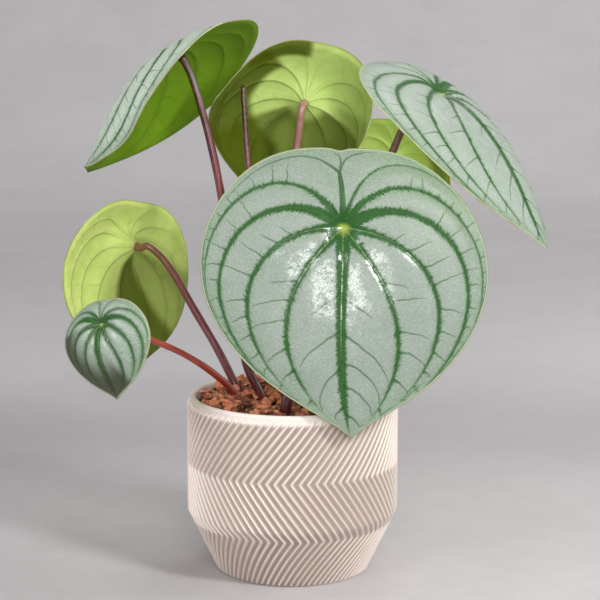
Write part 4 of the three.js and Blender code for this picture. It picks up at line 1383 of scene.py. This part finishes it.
def stage_material(settings):
    material, s = new_material("grey_stage", settings.grey, 0.85, 0.2)
    place = s.place()
    right, back, _ = s.parts(place)
    colour = s.layers(
        tone(settings.grey, 0.93),
        (s.ramp(s.noise(place, 6, 4, 0.6), 0.3, 0.7), settings.grey),
        (s.ramp(s.noise(place, 60, 5, 0.7), 0.4, 0.7, 0, 0.35), tone(settings.grey, 0.86)),
        (s.ramp(back, 0.10, 0.24, 0, 0.16), (0.2, 0.2, 0.2)))
    # The backdrop's emission is painted light: it brightens the far floor and the backdrop, more
    # towards the back and towards the right.
    wall = s.mix(s.ramp(right, -0.6, 0.6), (0.252, 0.244, 0.248), (0.315, 0.305, 0.31))
    glow = s.ramp(back, 0.18, 0.5, 0, 0.42) + s.ramp(back, 0.7, 1.8, 0, 0.6)
    mottle = s.ramp(s.noise(place, 9, 5, 0.65), 0.3, 0.7, 0.95, 1.05)
    s.set(Base_Color=colour, Emission_Color=wall, Emission_Strength=glow * mottle)
    return material


class PEPEROMIA_OT_stage(bpy.types.Operator):
    """Make the floor and backdrop, the lights and the camera"""
    bl_idname = "peperomia.stage"
    bl_label = "Stage"

    def execute(self, context):
        settings = context.scene.peperomia_stage
        floor, places = grid("floor", 40, 60)
        flat, bend = STRIP["flat"], STRIP["bend"]
        reach = (places[:, 1] + 1) / 2 * STRIP["length"]
        turn = np.clip((reach - flat) / bend, 0, math.pi / 2)
        rise = np.clip(reach - flat - bend * math.pi / 2, 0, None)
        x = places[:, 0] * STRIP["half_width"]
        y = np.where(reach < flat, reach, flat + bend * np.sin(turn)) - STRIP["near"]
        z = np.where(reach < flat, 0, bend * (1 - np.cos(turn)) + rise)
        move_points(floor, np.stack([x, y, z], -1) / MM)
        smooth(floor)
        use_materials(floor, stage_material(settings))
        world = bpy.data.worlds.new("studio")
        world.use_nodes = True
        background = world.node_tree.nodes["Background"].inputs
        background["Color"].default_value = WORLD_COLOUR
        background["Strength"].default_value = WORLD_STRENGTH
        context.scene.world = world
        for name, (share, *lamp) in KEY_LAMPS.items():
            softbox(name, settings.key * share, *lamp)
        for name, lamp in LAMPS.items():
            softbox(name, *lamp)
        turned = (math.radians(90) - CAMERA["pitch"], 0, CAMERA["turn"])
        bpy.ops.object.camera_add(location=CAMERA["place"], rotation=turned)
        camera = bpy.context.object
        camera.data.sensor_width = 36
        camera.data.lens = settings.focal
        camera.data.clip_start, camera.data.clip_end = 0.01, 50
        context.scene.camera = camera
        context.scene.view_settings.view_transform = "Standard"
        return {"FINISHED"}


# ---- Panel and registration -----------------------------------------------------------------

OPERATORS = (PEPEROMIA_OT_stage, PEPEROMIA_OT_pot, PEPEROMIA_OT_soil, PEPEROMIA_OT_mulch,
             PEPEROMIA_OT_stalks, PEPEROMIA_OT_spike, PEPEROMIA_OT_blades)
SETTINGS = {"peperomia_pot": PotSettings, "peperomia_mulch": MulchSettings,
            "peperomia_blades": BladeSettings, "peperomia_stage": StageSettings}


class PEPEROMIA_PT_panel(bpy.types.Panel):
    """Lists the plant's pieces and their settings"""
    bl_idname = "PEPEROMIA_PT_panel"
    bl_label = "Potted peperomia"
    bl_space_type = "VIEW_3D"
    bl_region_type = "UI"
    bl_category = "Peperomia"

    def draw(self, context):
        for key, group in SETTINGS.items():
            box = self.layout.box()
            for name in group.__annotations__:
                box.prop(getattr(context.scene, key), name)
        for operator in OPERATORS:
            self.layout.operator(operator.bl_idname)


def register():
    for group in SETTINGS.values():
        bpy.utils.register_class(group)
    for key, group in SETTINGS.items():
        setattr(bpy.types.Scene, key, PointerProperty(type=group))
    for item in (*OPERATORS, PEPEROMIA_PT_panel):
        bpy.utils.register_class(item)


def unregister():
    for item in reversed((*OPERATORS, PEPEROMIA_PT_panel)):
        bpy.utils.unregister_class(item)
    for key in SETTINGS:
        delattr(bpy.types.Scene, key)
    for group in SETTINGS.values():
        bpy.utils.unregister_class(group)


def main():
    register()
    for operator in OPERATORS:
        section, name = operator.bl_idname.split(".")
        getattr(getattr(bpy.ops, section), name)()
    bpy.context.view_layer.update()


if __name__ == "__main__":
    main()
